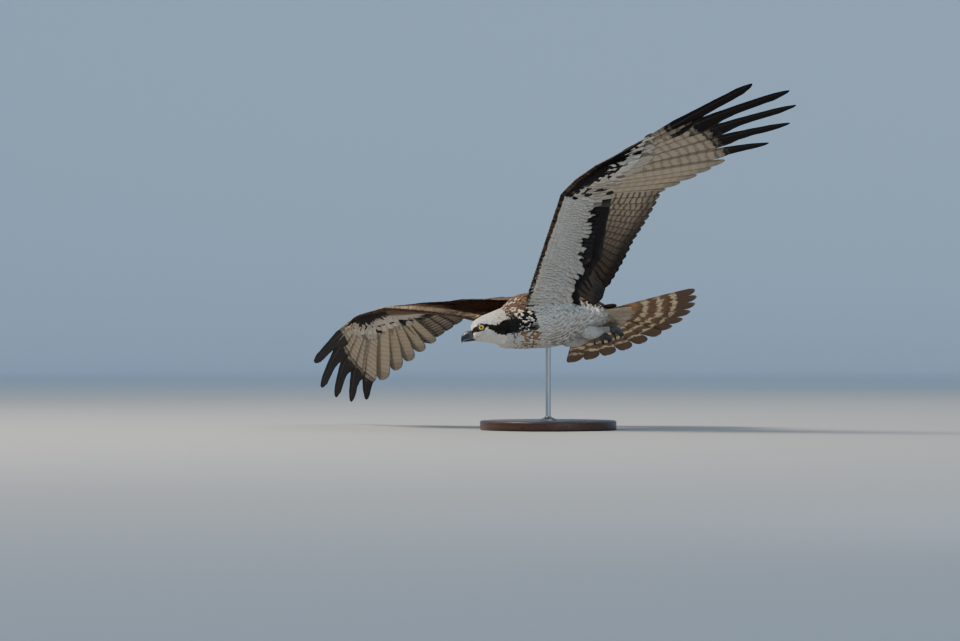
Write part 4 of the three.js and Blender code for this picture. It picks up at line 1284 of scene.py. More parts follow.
tail_covert_pieces = [tail_coverts("tail_coverts_above", 1), tail_coverts("tail_coverts_below", -1)]
print("tail coverts made")


# %% [markdown]
# The legs are feathered to the ankle in short, close white down, held back along the belly.

# %% Leg feathers
LEG_PLUMES = (13.5, 12.5, 6.4, 4.6)  # half widths along a leg's plumage
LEG_SIDES, LEG_STEPS, LEAF_STEPS = 36, 16, 5


def leg_feathers(name, side):
    path = leg_path(side)
    rings = np.array(tube_rings(path, LEG_PLUMES, LEG_SIDES, LEG_STEPS))
    skin_side = np.array(tube_rings(path, LEG_SKIN, LEG_SIDES, LEG_STEPS))
    roots, tips, normals = [], [], []
    for i in range(2, len(rings) - 1):
        for k in range(0, LEG_SIDES, 2):
            j = (k + i) % LEG_SIDES
            roots.append(skin_side[i, j])
            tips.append(rings[min(i + LEAF_STEPS, len(rings) - 1), j])
            normals.append(unit(rings[i, j] - skin_side[i, j]))
    roots, tips, normals = map(np.array, (roots, tips, normals))
    length = np.linalg.norm(tips - roots, axis=1)
    keep = length > 2
    roots, tips, normals, length = roots[keep], tips[keep], normals[keep], length[keep]
    count = len(roots)
    return joined_leaves(name, SMALL_LEAF, roots, tips, normals, length * 0.5, np.full(count, 0.05),
                         WHITE * rng.uniform(0.9, 1.04, (count, 1)), np.full(count, -0.05),
                         bake_places(roots))


leg_coat = [leg_feathers("leg_feathers_left", 1), leg_feathers("leg_feathers_right", -1)]
print("leg feather faces:", [len(p.data.polygons) for p in leg_coat])


# %% [markdown]
# The bill is black horn, a little greyer over the cere at its base. The upper half runs out
# level and then hooks straight down past the lower one. It is drawn as the solids have it, by
# points of its ridge and of its cutting edge, with many more rings between them on a smooth curve.

# %% Bill
UPPER_BILL = ((20, -2.2, 20, -17.6, 8.4), (26, -1.8, 25.5, -17.2, 8), (30.5, -2.8, 29.5, -17, 7),
              (35.5, -5, 33, -17, 5.8), (39.5, -8.8, 36.4, -17.6, 4.4),
              (41.8, -13.4, 39, -18.8, 3), (42.6, -18, 40.8, -20.4, 1.7),
              (42, -22.4, 41.6, -22.6, 0.35))
LOWER_BILL = ((20, 7.8, -18.1, -22.2), (27, 6.4, -17.7, -21.8), (33, 4.7, -17.7, -21.2),
              (36.6, 3, -18.3, -20.6), (38.2, 1, -19.4, -20.2))
BILL_RING = ((0, 0), (0.28, 0.03), (0.5, 0.1), (0.72, 0.23), (0.87, 0.4), (0.97, 0.58), (1, 0.75),
             (1, 0.9), (0.96, 1), (0.7, 0.99), (0.4, 0.97))
SUNK = 3.0  # how far the bill's base runs back into the head
LOWER_SIDES = 22


NOSTRIL_PLACE, NOSTRIL_HALF, NOSTRIL_SLANT = (26.4, 7.6, -7.4), (1.5, 2.5, 0.9), 32


def upper_bill_ring(row):
    ridge_ahead, ridge_up, edge_ahead, edge_up, width = row
    shape = list(BILL_RING) + [(-x, t) for x, t in BILL_RING[:0:-1]]
    ahead = np.array([ridge_ahead + (edge_ahead - ridge_ahead) * t for _, t in shape])
    up = np.array([ridge_up + (edge_up - ridge_up) * t for _, t in shape])
    return on_head_array(ahead, np.array([x * width for x, _ in shape]), up)


def lower_bill_ring(row):
    ahead, width, top, bottom = row
    angles = np.arange(LOWER_SIDES) / LOWER_SIDES * 2 * math.pi
    c, s = np.cos(angles), np.sin(angles)
    c = np.sign(c) * np.abs(c) ** 0.7
    up = (top + bottom) / 2 + s * (top - bottom) / 2
    return on_head_array(np.full(LOWER_SIDES, ahead), c * width, up)


upper_rows = smooth_rows(UPPER_BILL, 6)
sunk_row = upper_rows[0] - (SUNK, 0, SUNK, 0, 1.2)
bill_upper = lofted("upper_bill", [upper_bill_ring(r) for r in (sunk_row, *upper_rows)])
lower_rows = smooth_rows(LOWER_BILL, 6)
bill_lower = lofted("lower_bill", [lower_bill_ring(r) for r in
                                   (lower_rows[0] - (SUNK, 0.6, 0, 0), *lower_rows)])


def cut_nostrils(bill):
    """A slanted slit on each side of the cere, cut with an ellipsoid that is then deleted."""
    for side in (1, -1):
        ahead, left, up = NOSTRIL_PLACE
        centre = on_head(ahead, side * left, up)
        bpy.ops.object.select_all(action="DESELECT")
        bpy.ops.mesh.primitive_uv_sphere_add(segments=24, ring_count=14, radius=MM,
                                             location=(0, 0, 0))
        cutter = bpy.context.object
        local = np.array([v.co for v in cutter.data.vertices]) / MM * NOSTRIL_HALF
        local = local @ turned("X", NOSTRIL_SLANT).T
        place = to_row(local @ HEAD_FRAME.T + centre)
        cutter.data.vertices.foreach_set("co", place.reshape(-1))
        apply_modifier(bill, "BOOLEAN", operation="DIFFERENCE", object=cutter, solver="EXACT")
        bpy.data.objects.remove(cutter)


cut_nostrils(bill_upper)
for piece in (bill_upper, bill_lower):
    smooth_shade(piece, 42)


def gape_path(side):
    return [on_head(22, side * 7.7, -17.8), on_head(17, side * 11.6, -17.4),
            on_head(12, side * 14.6, -16.9), on_head(7, side * 17.0, -15.8)]


gapes = [lofted(f"gape_{name}", tube_rings(gape_path(side), (0.5, 0.7, 0.55, 0.12), 10, 6))
         for name, side in (("left", 1), ("right", -1))]
for piece in gapes:
    smooth_shade(piece, 80)
print("bill rings", len(upper_rows), "and", len(lower_rows))


# %% [markdown]
# An osprey's eye is large and clear yellow, with a round pupil in a dark ring of bare skin. The
# ball sits at its true depth, turned a little forward, and only its front shows between the
# lids. The lids are two rolled rims, the upper one drawn down a little at the front, which gives
# the bird its stern look.

# %% Eyes and lids
EYE_FORWARD = 16  # degrees that the eye's axis is turned forward
PUPIL_RADIUS, IRIS_RADIUS = 2.4, 5.9
LID_STEPS, LID_SIDES = 48, 10


def eye_frame(side):
    """Axes of an eye: outward, forward and up, on the head."""
    a = math.radians(EYE_FORWARD)
    out = np.array([side * math.cos(a), -math.sin(a), 0])
    forward = np.array([-side * math.sin(a), -math.cos(a), 0])
    return out @ HEAD_FRAME.T, forward @ HEAD_FRAME.T, np.array([0, 0, 1.0]) @ HEAD_FRAME.T


def eyeball(name, side):
    bpy.ops.object.select_all(action="DESELECT")
    bpy.ops.mesh.primitive_uv_sphere_add(segments=64, ring_count=40, radius=1, location=(0, 0, 0))
    ball = bpy.context.object
    ball.name = name
    local = np.array([v.co for v in ball.data.vertices])
    out, forward, up = eye_frame(side)
    cornea = soft(local[:, 2], 0.76, 1.0)
    reach = EYE_RADIUS + cornea * 0.5
    points = (on_head(EYE_AHEAD, side * EYE_SIDE, EYE_UP)
              + (local[:, 2, None] * out + local[:, 0, None] * forward + local[:, 1, None] * up)
              * reach[:, None])
    ball.data.vertices.foreach_set("co", to_row(points).reshape(-1))
    from_axis = np.hypot(local[:, 0], local[:, 1]) * EYE_RADIUS
    from_axis = np.where(local[:, 2] > 0, from_axis, EYE_RADIUS)
    ring = ball.data.attributes.new("from_axis", "FLOAT", "POINT")
    ring.data.foreach_set("value", from_axis.astype(np.float32))
    spoke = ball.data.attributes.new("spoke", "FLOAT_VECTOR", "POINT")
    turn = np.stack([local[:, 0], local[:, 1], np.zeros(len(local))], 1)
    spoke.data.foreach_set("vector", unit(turn).reshape(-1).astype(np.float32))
    recalculate(ball)
    smooth_shade(ball, 180)
    return ball


def lid_rings(side):
    """A closed rim round the eye, heavier above than below."""
    out, forward, up = eye_frame(side)
    centre = on_head(EYE_AHEAD, side * EYE_SIDE, EYE_UP)
    rings = []
    for k in range(LID_STEPS):
        a = k / LID_STEPS * 2 * math.pi
        x, z = math.cos(a), math.sin(a)
        wide = EYE_OPENING * (1.03 if x > 0 else 1.0)
        tall = EYE_OPENING * (0.86 - 0.1 * x if z > 0 else 0.94)
        flat = np.array([x * wide, z * tall])
        depth = math.sqrt(EYE_RADIUS ** 2 - min((flat ** 2).sum(), 80))
        middle = centre + out * (depth + 0.35) + forward * flat[0] + up * flat[1]
        radial = unit(forward * x + up * z)
        thick = 1.5 if z > 0 else 1.15
        ring = []
        for j in range(LID_SIDES):
            b = j / LID_SIDES * 2 * math.pi
            ring.append(middle + radial * (0.5 + math.cos(b)) * thick * 0.8
                        + out * math.sin(b) * thick * 0.55)
        rings.append(ring)
    return rings


def lid(name, side):
    points = np.array(lid_rings(side)).reshape(-1, 3)
    faces = []
    for i in range(LID_STEPS):
        for j in range(LID_SIDES):
            here, ahead = i * LID_SIDES, (i + 1) % LID_STEPS * LID_SIDES
            m = (j + 1) % LID_SIDES
            faces.append((here + j, here + m, ahead + m, ahead + j))
    piece = mesh_object(name, to_row(points), faces)
    recalculate(piece)
    smooth_shade(piece, 180)
    return piece


eyes = {name: eyeball(f"eyeball_{name}", side) for name, side in (("left", 1), ("right", -1))}
lids = {name: lid(f"eyelids_{name}", side) for name, side in (("left", 1), ("right", -1))}
print("eye faces", len(eyes["left"].data.polygons))


# %% [markdown]
# The feet are tucked under the tail, clenched. An osprey's toes are pale blue-grey and rough with
# small scutes, and its black talons are long, round and strongly curved. Here the toes are painted
# dark grey, as painted shade for feet tucked under the tail. Each toe is a tube with a raised ring
# for each scute, and each talon a smooth horn.

# %% Feet
FOOT_BACK, FOOT_LOW, FOOT_SIDE = 157, 23, 15
TOES = ((-28, 17), (2, 21), (34, 18), (128, 12))  # degrees spread and millimetres of length
SCUTE_PITCH = 2.4


def toe_points(side, spread, length):
    start = np.array([side * FOOT_SIDE, FOOT_BACK + 2, -FOOT_LOW], float)
    a = math.radians(spread)
    heading = unit([side * math.sin(a), math.cos(a), -0.1])
    middle = start + heading * length * 0.65 + (0, 0, -1)
    end = start + heading * length + (0, 0, -8)
    return start, heading, middle, end


def scaled_toe(side, spread, length):
    start, _, middle, end = toe_points(side, spread, length)
    rings = tube_rings([start, middle, end, end + (0, 0, -1.5)], (4.5, 4.3, 3.5, 2.2), 16, 10)
    middles = [np.mean(r, axis=0) for r in rings]
    reach = np.concatenate([[0], np.cumsum([np.linalg.norm(b - a)
                                            for a, b in zip(middles, middles[1:])])])
    out = []
    for ring, middle_point, r in zip(rings, middles, reach):
        swell = 1 + 0.07 * abs(math.sin(math.pi * r / SCUTE_PITCH))
        out.append(middle_point + (ring - middle_point) * swell)
    return out


def talon(side, spread, length):
    _, heading, _, end = toe_points(side, spread, length)
    bend = end + heading * 2.4 + (0, 0, -6)
    tip = end - heading * 6 + (0, 0, -11)
    return tube_rings([end - heading + (0, 0, 1), bend, tip], (2.9, 2.1, 0.25), 14, 9)


def join_pieces(name, pieces):
    select_only(*pieces)
    if len(pieces) > 1:
        bpy.ops.object.join()
    piece = bpy.context.object
    piece.name = name
    piece.data.name = name
    return piece


feet, talons = {}, {}
for name, side in (("left", 1), ("right", -1)):
    pads = [lofted("toe", scaled_toe(side, *toe)) for toe in TOES]
    shank = [(side * (FOOT_SIDE + 0.4), FOOT_BACK - 11, -FOOT_LOW - 0.2),
             (side * FOOT_SIDE, FOOT_BACK + 2, -FOOT_LOW), (side * FOOT_SIDE, FOOT_BACK + 8, -FOOT_LOW)]
    pads.append(lofted("ankle", tube_rings(shank, (4.4, 5.4, 5.8, 4), 18, 8)))
    feet[name] = join_pieces(f"toes_{name}", pads)
    apply_modifier(feet[name], "REMESH", mode="VOXEL", voxel_size=0.45 * MM)
    apply_modifier(feet[name], "SMOOTH", factor=0.5, iterations=2)
    smooth_shade(feet[name], 180)
    talons[name] = join_pieces(f"talons_{name}", [lofted("talon", talon(side, *toe)) for toe in TOES])
    smooth_shade(talons[name], 60)
    print(name, "foot faces", len(feet[name].data.polygons))


# %% [markdown]
# The stand is a turned disc of dark hardwood with an eased edge and a shallow groove, and one
# brushed steel rod in a small collar. The disc starts as a cylinder: its top is inset twice to
# set out the groove, and a bevel rounds the rims.

# %% Stand
BASE_RADIUS, BASE_HEIGHT, ROD_RADIUS = 130, 18, 5
COLLAR_RADIUS, ROD_TOP = 15, 0.999 * (BODY_HEIGHT - 38)
GROOVE_IN, GROOVE_SLOPE, GROOVE_DEPTH, TOP_INSET = 14, 2.4, 1.2, 60
RIM_BEVEL = 3.5


def select_faces(piece, test):
    """Selects the faces whose centre and normal pass the test, in edit mode."""
    bpy.ops.object.mode_set(mode="EDIT")
    bpy.ops.mesh.select_all(action="DESELECT")
    bpy.ops.object.mode_set(mode="OBJECT")
    for face in piece.data.polygons:
        face.select = test(face.center, face.normal)
    bpy.ops.object.mode_set(mode="EDIT")


def base_disc():
    bpy.ops.object.select_all(action="DESELECT")
    bpy.ops.mesh.primitive_cylinder_add(vertices=128, radius=BASE_RADIUS * MM,
                                        depth=BASE_HEIGHT * MM,
                                        location=(0, 0, BASE_HEIGHT * MM / 2))
    disc = bpy.context.object
    disc.name = "stand_disc"
    bpy.ops.object.transform_apply(location=True, rotation=True, scale=True)
    select_faces(disc, lambda centre, normal: normal.z > 0.9)
    bpy.ops.mesh.select_mode(type="FACE")
    bpy.ops.mesh.inset(thickness=GROOVE_IN * MM)
    for depth in (-GROOVE_DEPTH, GROOVE_DEPTH):
        bpy.ops.mesh.inset(thickness=GROOVE_SLOPE * MM, depth=depth * MM)
    bpy.ops.mesh.inset(thickness=TOP_INSET * MM)
    bpy.ops.object.mode_set(mode="OBJECT")
    apply_modifier(disc, "BEVEL", width=RIM_BEVEL * MM, segments=5, limit_method="ANGLE",
                   angle_limit=math.radians(60))
    smooth_shade(disc, 40)
    return disc


def rod():
    """A rod grown from its collar by extruding rings upwards to the belly."""
    bpy.ops.object.select_all(action="DESELECT")
    bpy.ops.mesh.primitive_circle_add(vertices=48, radius=COLLAR_RADIUS * MM, fill_type="NGON",
                                      location=(0, 0, BASE_HEIGHT * MM))
    piece = bpy.context.object
    piece.name = "stand_rod_and_collar"
    bpy.ops.object.mode_set(mode="EDIT")
    radius, height = COLLAR_RADIUS, BASE_HEIGHT
    for new_radius, new_height in ((COLLAR_RADIUS, 20.6), (14.4, 21.2), (9.6, 23), (6.2, 25),
                                   (5.3, 26.6), (ROD_RADIUS, 29), (ROD_RADIUS, 90),
                                   (ROD_RADIUS, ROD_TOP)):
        bpy.ops.mesh.extrude_region_move(
            TRANSFORM_OT_translate={"value": (0, 0, (new_height - height) * MM)})
        ratio = new_radius / radius
        bpy.ops.transform.resize(value=(ratio, ratio, 1))
        radius, height = new_radius, new_height
    bpy.ops.mesh.select_all(action="SELECT")
    bpy.ops.mesh.normals_make_consistent(inside=False)
    bpy.ops.object.mode_set(mode="OBJECT")
    bpy.ops.object.transform_apply(location=True, rotation=True, scale=True)
    smooth_shade(piece, 35)
    return piece


stand_disc = base_disc()
stand_rod = rod()
print("stand faces", len(stand_disc.data.polygons), len(stand_rod.data.polygons))


# %% [markdown]
# Materials. Feathers are keratin: dry and matt, with a soft sheen from their barbules. The small
# feathers take their colour from the markings above, with a fine darker shaft and barbs drawn
# from the feather's own map. The barbs are drawn coarser than the real third of a millimetre.

# %% Small feather and skin materials
def feather_axes(material):
    """Place along the feather, its distance from the shaft and its side, each 0 to 1."""
    node = partial(add_node, material)
    place = node("UVMap", uv_map="feather")
    side = node("SeparateXYZ", place, out="Y")
    doubled = node("Math", node("Math", side, 0.5, **TAKE), 2.0, **TIMES)
    return node("SeparateXYZ", place, out="X"), node("Math", doubled, operation="ABSOLUTE"), side


def mottle(material, size_mm):
    """Noise from 0 to 1 whose patches are about a given size on the piece."""
    place = add_node(material, "TexCoord", out="Object")
    return add_node(material, "TexNoise", place, Scale=1000 / size_mm, Detail=3.0)


def contour_feather_material():
    """Small feathers: the bird's own markings, with a pale rim, a darker shaft and fine barbs."""
    material, shader = new_material("contour_feather_keratin", 0.85, Specular_IOR_Level=0.15,
                                    Sheen_Weight=0.05, Sheen_Roughness=0.5)
    node = partial(add_node, material)
    along, across, _ = feather_axes(material)
    plumage = node("Attribute", attribute_name="plumage")
    fringe = node("Attribute", attribute_name="fringe", out="Fac")
    rim = node("Math", node("MapRange", along, 0.8, 0.98, **SOFT_EDGE),
               node("MapRange", across, 0.72, 1.0, **SOFT_EDGE), operation="MAXIMUM")
    paler = node("Math", rim, node("Math", fringe, 0.5, **TIMES), **TIMES)
    colour = node("Mix", paler, plumage, "b79a78", **IN_COLOUR)
    shaft = node("Math", 1.0, node("MapRange", across, 0.0, 0.14, **SOFT_EDGE), **TAKE)
    colour = node("Mix", node("Math", shaft, 0.16, **TIMES), colour, "2a211b", **IN_COLOUR)
    dusty = node("Mix", 1.0, colour, "e9e2d8", blend_type="MULTIPLY", **IN_COLOUR)
    patches = node("MapRange", mottle(material, 6), 0.25, 0.8, **SOFT_EDGE)
    feed(material, shader.inputs["Base Color"], node("Mix", patches, colour, dusty, **IN_COLOUR))
    slant = node("Math", along, node("Math", across, -0.35, **TIMES), **ADD)
    barbs = node("Math", node("Math", slant, 95.0, **TIMES), operation="SINE")
    feed(material, shader.inputs["Normal"], node("Bump", Strength=0.25, Distance=0.0003, Height=barbs))
    return material


def skin_material():
    """Down-covered skin under the feathers, in the markings of the coat."""
    material, shader = new_material("down_covered_skin", 0.95)
    node = partial(add_node, material)
    plumage = node("Attribute", attribute_name="plumage")
    shaded = node("Mix", 1.0, plumage, "cfc8bf", blend_type="MULTIPLY", **IN_COLOUR)
    tufts = node("MapRange", mottle(material, 3), 0.3, 0.7, **SOFT_EDGE)
    feed(material, shader.inputs["Base Color"], node("Mix", tufts, plumage, shaded, **IN_COLOUR))
    feed(material, shader.inputs["Normal"], node("Bump", Strength=0.4, Distance=0.0006,
                                                 Height=mottle(material, 1.5)))
    return material


feather_finish = contour_feather_material()
small_coats = [*body_coat, *tail_covert_pieces, *leg_coat,
               *[piece for group in covert_pieces.values() for piece in group]]
for piece in small_coats:
    piece.data.materials.append(feather_finish)


def paint_skin():
    """Gives each point of the skin the colour of the nearest small feather."""
    places, colours = [], []
    for piece in small_coats:
        size = len(LARGE_LEAF[0]) if ("greater" in piece.name or "tail" in piece.name) else len(
            SMALL_LEAF[0])
        co = np.empty(len(piece.data.vertices) * 3, np.float32)
        piece.data.vertices.foreach_get("co", co)
        paint = np.empty(len(piece.data.vertices) * 4, np.float32)
        piece.data.color_attributes["plumage"].data.foreach_get("color", paint)
        places.append(co.reshape(-1, size, 3).mean(axis=1))
        colours.append(paint.reshape(-1, size, 4)[:, 0])
    places, colours = np.concatenate(places), np.concatenate(colours)
    tree = KDTree(len(places))
    for i, place in enumerate(places):
        tree.insert(place, i)
    tree.balance()
    nearest = [tree.find(v.co)[1] for v in skin.data.vertices]
    layer = skin.data.color_attributes.new("plumage", "FLOAT_COLOR", "POINT")
    layer.data.foreach_set("color", colours[nearest].reshape(-1))


paint_skin()
skin.data.materials.append(skin_material())
print("small feathers:", sum(len(p.data.polygons) for p in small_coats), "faces")


# %% [markdown]
# Flight feathers are stiffer and smoother. From above they are dark brown. From below the light
# inner web shows, crossed by brown bars, and the fingers are black towards their tips. All of it
# is drawn from the feather's own map, so each bar follows its feather. The tail's underside is
# painted lighter than its own pale bands and brown bars, a painted glow of sunlight through the fan.

# %% Flight and tail feather materials
def vane_material(name, above, web, bar, tip, bar_edge, tone_shift, root=None):
    """Colours above, of the pale web, of its bars and of the tip; root is a plain base below."""
    material, shader = new_material(name, 0.65, Specular_IOR_Level=0.18, Sheen_Weight=0.04)
    node = partial(add_node, material)
    along, across, side = feather_axes(material)
    upper, tone, bars, count, black_from, pale = (
        node("Attribute", attribute_name=key, out="Fac")
        for key in ("upper_face", "tone", "bars", "bar_count", "black_from", "pale"))
    # Bars across a pale inner web
    blur = node("Math", mottle(material, 9), 0.5, **TAKE)
    lag = node("Math", across, 0.012, **TIMES)
    phase = node("Math", node("Math", along, lag, **TAKE), count, **TIMES)
    uneven = node("Math", node("Math", blur, 0.9, **TIMES), node("Math", tone, tone_shift, **TIMES),
                  **ADD)
    turns = node("Math", node("Math", phase, uneven, **ADD), 2 * math.pi, **TIMES)
    wave = node("Math", turns, operation="SINE")
    bar_here = node("Math", node("MapRange", wave, *bar_edge, **SOFT_EDGE), bars, **TIMES)
    ground = node("Mix", pale, "4a3c32", web, **IN_COLOUR)
    outer_web = node("MapRange", side, 0.5, 0.56, **SOFT_EDGE)
    ground = node("Mix", node("Math", outer_web, 0.5, **TIMES), ground, bar, **IN_COLOUR)
    below = node("Mix", bar_here, ground, bar, **IN_COLOUR)
    if root:
        rough_along = node("Math", along, node("Math", blur, 0.1, **TIMES), **ADD)
        past_root = node("MapRange", rough_along, 0.38, 0.47, **SOFT_EDGE)
        below = node("Mix", past_root, root, below, **IN_COLOUR)
    rear = node("Math", 1.1, pale, use_clamp=True, **TAKE)
    rear = node("Math", node("MapRange", along, 0.8, 0.93, **SOFT_EDGE), rear, **TIMES)
    below = node("Mix", rear, below, "2b211b", **IN_COLOUR)
    # The upper face is darker and plainer, and both faces share the dark tip
    over = node("Mix", node("Math", bar_here, 0.45, **TIMES), above, tip, **IN_COLOUR)
    inner_pale = node("Math", node("Math", 1.0, outer_web, **TAKE), pale, **TIMES)
    over = node("Mix", node("Math", inner_pale, 0.08, **TIMES), over, ground, **IN_COLOUR)
    colour = node("Mix", upper, below, over, **IN_COLOUR)
    broken = node("Math", node("Math", blur, 0.12, **TIMES), node("Math", bar_here, 0.09, **TIMES),
                  **ADD)
    dark = node("MapRange", node("Math", along, broken, **ADD), node("Math", black_from, 0.06, **TAKE),
                node("Math", black_from, 0.04, **ADD), **SOFT_EDGE)
    colour = node("Mix", dark, colour, tip, **IN_COLOUR)
    if root:
        pale_rim = node("Math", node("MapRange", along, 0.975, 0.995, **SOFT_EDGE), 0.5, **TIMES)
        colour = node("Mix", pale_rim, colour, "c9b79c", **IN_COLOUR)
    # Shaft, dust and the fine ridges of the barbs
    shaft = node("Math", 1.0, node("MapRange", across, 0.01, 0.06, **SOFT_EDGE), **TAKE)
    shaft_colour = node("Mix", upper, "7d6c5a", "241b15", **IN_COLOUR)
    colour = node("Mix", node("Math", shaft, 0.4, **TIMES), colour, shaft_colour, **IN_COLOUR)
    dusky = node("Mix", 1.0, colour, "6a5f55", blend_type="MULTIPLY", **IN_COLOUR)
    colour = node("Mix", node("Math", mottle(material, 3), 0.18, **TIMES), colour, dusky, **IN_COLOUR)
    feed(material, shader.inputs["Base Color"], colour)
    slant = node("Math", along, node("Math", across, -0.07, **TIMES), **ADD)
    barbs = node("Math", node("Math", slant, 900.0, **TIMES), operation="SINE")
    feed(material, shader.inputs["Normal"], node("Bump", Strength=0.2, Distance=0.0002, Height=barbs))
    return material


wing_finish = vane_material("flight_feather_keratin", "3b2d23", "d4c2a8", "4d3a2d", "160d0b",
                            (0.0, 0.8), 0.6)
# The tail's web, bars and base are lighter than its own colours: its real pale bands, with a painted glow
# of sunlight through the fan.
tail_finish_with_painted_glow = vane_material("tail_feather_keratin_with_painted_glow", "5a4635", "ffe6b8", "96704f", "74573f",
                            (-0.95, 0.05), 0.2, root="dcaa75")
for piece in flights.values():
    piece.data.materials.append(wing_finish)
tail_feathers.data.materials.append(tail_finish_with_painted_glow)


# %% [markdown]
# Horn, bare skin, the eye and the stand. The bill is polished horn, slate-dark at its base and
# black at its hook. The eye is wet, which its clear coat shows. The wood's grain is bands about
# 12 mm wide, nine times as long along the plank, and the steel's brush lines run round the rod,
# about 0.7 mm apart.

# %% Horn, skin, eye and stand materials
def horn_material(name, base_hex, tip_hex, base_ahead, tip_ahead):
    """Horn that goes from one colour to another between two places ahead of the eyes."""
    material, shader = new_material(name, 0.32, Coat_Weight=0.25, Coat_Roughness=0.2)
    node = partial(add_node, material)
    ahead = node("Attribute", attribute_name="ahead", out="Fac")
    at = node("Math", ahead, node("Math", mottle(material, 2.5), 2.0, **TIMES), **ADD)
    towards_tip = node("MapRange", at, base_ahead, tip_ahead, **SOFT_EDGE)
    colour = node("Mix", towards_tip, base_hex, tip_hex, **IN_COLOUR)
    worn = node("Math", mottle(material, 0.9), 0.25, **TIMES)
    feed(material, shader.inputs["Base Color"], node("Mix", worn, colour, "4a4c50", **IN_COLOUR))
    feed(material, shader.inputs["Normal"], node("Bump", Strength=0.15, Distance=0.0002,
                                                 Height=mottle(material, 0.8)))
    return material


def store_ahead(piece):
    """How far ahead of the eyes each point lies, in millimetres, for the horn's colours."""
    inverse = np.linalg.inv(BIRD_TURN.T)
    co = np.array([v.co for v in piece.data.vertices]) / MM - (0, 0, BODY_HEIGHT)
    ahead = -((co @ inverse - HEAD_PLACE) @ HEAD_FRAME)[:, 1]
    layer = piece.data.attributes.new("ahead", "FLOAT", "POINT")
    layer.data.foreach_set("value", ahead.astype(np.float32))


bill_horn = horn_material("polished_bill_horn", "1f252c", "0e0e11", 24, 31)
for piece in (bill_upper, bill_lower):
    store_ahead(piece)
    piece.data.materials.append(bill_horn)
talon_horn, shader = new_material("black_talon_horn", 0.28, Coat_Weight=0.3)
feed(talon_horn, shader.inputs["Base Color"], add_node(
    talon_horn, "Mix", mottle(talon_horn, 1.5), "0d0d0f", "26262a", **IN_COLOUR))


def bare_skin(name, low, high, grain_mm, roughness):
    """Skin with fine pimples, darker between them than on them."""
    material, shader = new_material(name, roughness, Subsurface_Weight=0.05)
    node = partial(add_node, material)
    pimples = mottle(material, grain_mm)
    lighter = node("MapRange", pimples, 0.3, 0.7, **SOFT_EDGE)
    feed(material, shader.inputs["Base Color"], node("Mix", lighter, low, high, **IN_COLOUR))
    feed(material, shader.inputs["Normal"], node("Bump", Strength=0.5, Distance=0.0004,
                                                 Height=pimples))
    return material


# Both greys are darker than an osprey's own pale blue-grey feet: painted shade, for feet tucked under the
# tail.
foot_skin = bare_skin("scaly_foot_skin_painted_shade", "3f4344", "6d716d", 1.2, 0.65)
lid_skin = bare_skin("dark_eyelid_skin", "15130f", "35302b", 0.8, 0.5)
gape_skin = bare_skin("greyish_gape_skin", "8a6f68", "a98f86", 1.0, 0.45)

iris_glass, shader = new_material("wet_yellow_eye", 0.12, Coat_Weight=1.0, Coat_Roughness=0.02)
node = partial(add_node, iris_glass)
from_axis = node("Attribute", attribute_name="from_axis", out="Fac")
spoke = node("Attribute", attribute_name="spoke", out="Vector")
spokes = node("MapRange", node("TexNoise", spoke, Scale=9.0, Detail=4.0), 0.3, 0.7, **SOFT_EDGE)
iris = node("Mix", spokes, "d9a90f", "f6d938", **IN_COLOUR)
for start, end, outside in ((IRIS_RADIUS - 1.3, IRIS_RADIUS - 0.2, "5e430c"),
                            (IRIS_RADIUS - 0.2, IRIS_RADIUS + 0.3, "120f0c")):
    iris = node("Mix", node("MapRange", from_axis, start, end, **SOFT_EDGE), iris, outside, **IN_COLOUR)
pupil = node("MapRange", from_axis, PUPIL_RADIUS - 0.15, PUPIL_RADIUS + 0.15, **SOFT_EDGE)
feed(iris_glass, shader.inputs["Base Color"], node("Mix", pupil, "020202", iris, **IN_COLOUR))

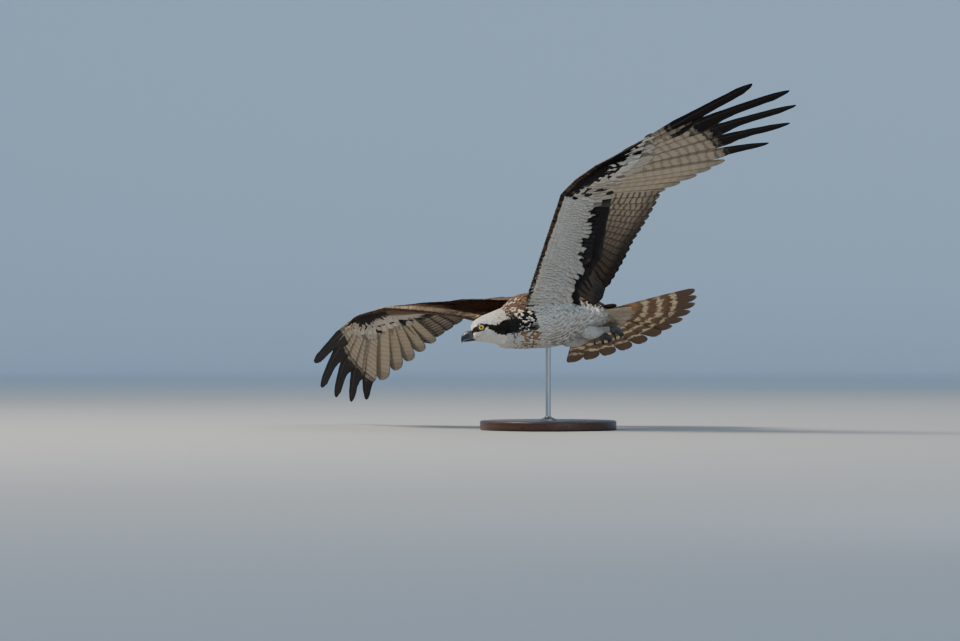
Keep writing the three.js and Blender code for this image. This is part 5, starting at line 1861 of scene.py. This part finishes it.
walnut, shader = new_material("satin_oiled_walnut", 0.38, Coat_Weight=0.15, Coat_Roughness=0.3)
node = partial(add_node, walnut)
plank = node("Mapping", node("TexCoord", out="Object"), Scale=(1, 9, 9))
bands = node("TexNoise", plank, Scale=9.0, Detail=6.0, Distortion=0.6)
pores = node("TexNoise", plank, Scale=120.0, Detail=2.0)
wood = node("ValToRGB", bands, stops=((0.3, "2a1810"), (0.48, "4b2e1d"), (0.56, "38210f"),
                                      (0.75, "5f3d26")))
wood = node("Mix", node("MapRange", pores, 0.58, 0.7, **SOFT_EDGE), wood, "1c0f09", **IN_COLOUR)
feed(walnut, shader.inputs["Base Color"], wood)
feed(walnut, shader.inputs["Normal"], node("Bump", Strength=0.15, Distance=0.0003, Height=pores))

steel, shader = new_material("brushed_stainless_steel", 0.32, Metallic=1.0)
node = partial(add_node, steel)
lines = node("Mapping", node("TexCoord", out="Object"), Scale=(20, 20, 1500))
brush = node("TexNoise", lines, Scale=1.0, Detail=2.0)
feed(steel, shader.inputs["Base Color"], node("Mix", brush, "9a9c9e", "c6c8ca", **IN_COLOUR))
feed(steel, shader.inputs["Roughness"], node("Math", node("Math", brush, 0.2, **TIMES), 0.22, **ADD))

for name in ("left", "right"):
    eyes[name].data.materials.append(iris_glass)
    lids[name].data.materials.append(lid_skin)
    feet[name].data.materials.append(foot_skin)
    talons[name].data.materials.append(talon_horn)
for piece in gapes:
    piece.data.materials.append(gape_skin)
stand_disc.data.materials.append(walnut)
stand_rod.data.materials.append(steel)
print("materials:", len(bpy.data.materials))


# %% [markdown]
# Last, each piece is tied to the model's one body, and the solids that it stands in for are hidden.

# %% Ties to the frame
def dress(piece, slot, *nodes):
    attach(piece, "root")
    if nodes:
        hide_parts(*nodes)


dress(skin, "body_plumage", "torso", "neck", "head", "leg_left", "leg_right", "wing_left_arm",
      "wing_left_hand", "wing_right_arm", "wing_right_hand", "tail")
for piece in (*body_coat, *leg_coat):
    dress(piece, "body_plumage")
for name in ("left", "right"):
    dress(flights[name], "wing_plumage")
    for piece in covert_pieces[name]:
        dress(piece, "wing_plumage")
    dress(eyes[name], "eye", f"eye_{name}")
    dress(lids[name], "eye")
    dress(feet[name], "foot_skin", f"foot_{name}")
    dress(talons[name], "bill_horn")
dress(tail_feathers, "tail_plumage")
for piece in tail_covert_pieces:
    dress(piece, "tail_plumage")
dress(bill_upper, "bill_horn", "bill_upper")
dress(bill_lower, "bill_horn", "bill_lower")
for piece in gapes:
    dress(piece, "foot_skin")
dress(stand_disc, "stand_wood", "stand_base")
dress(stand_rod, "stand_steel", "stand_rod")
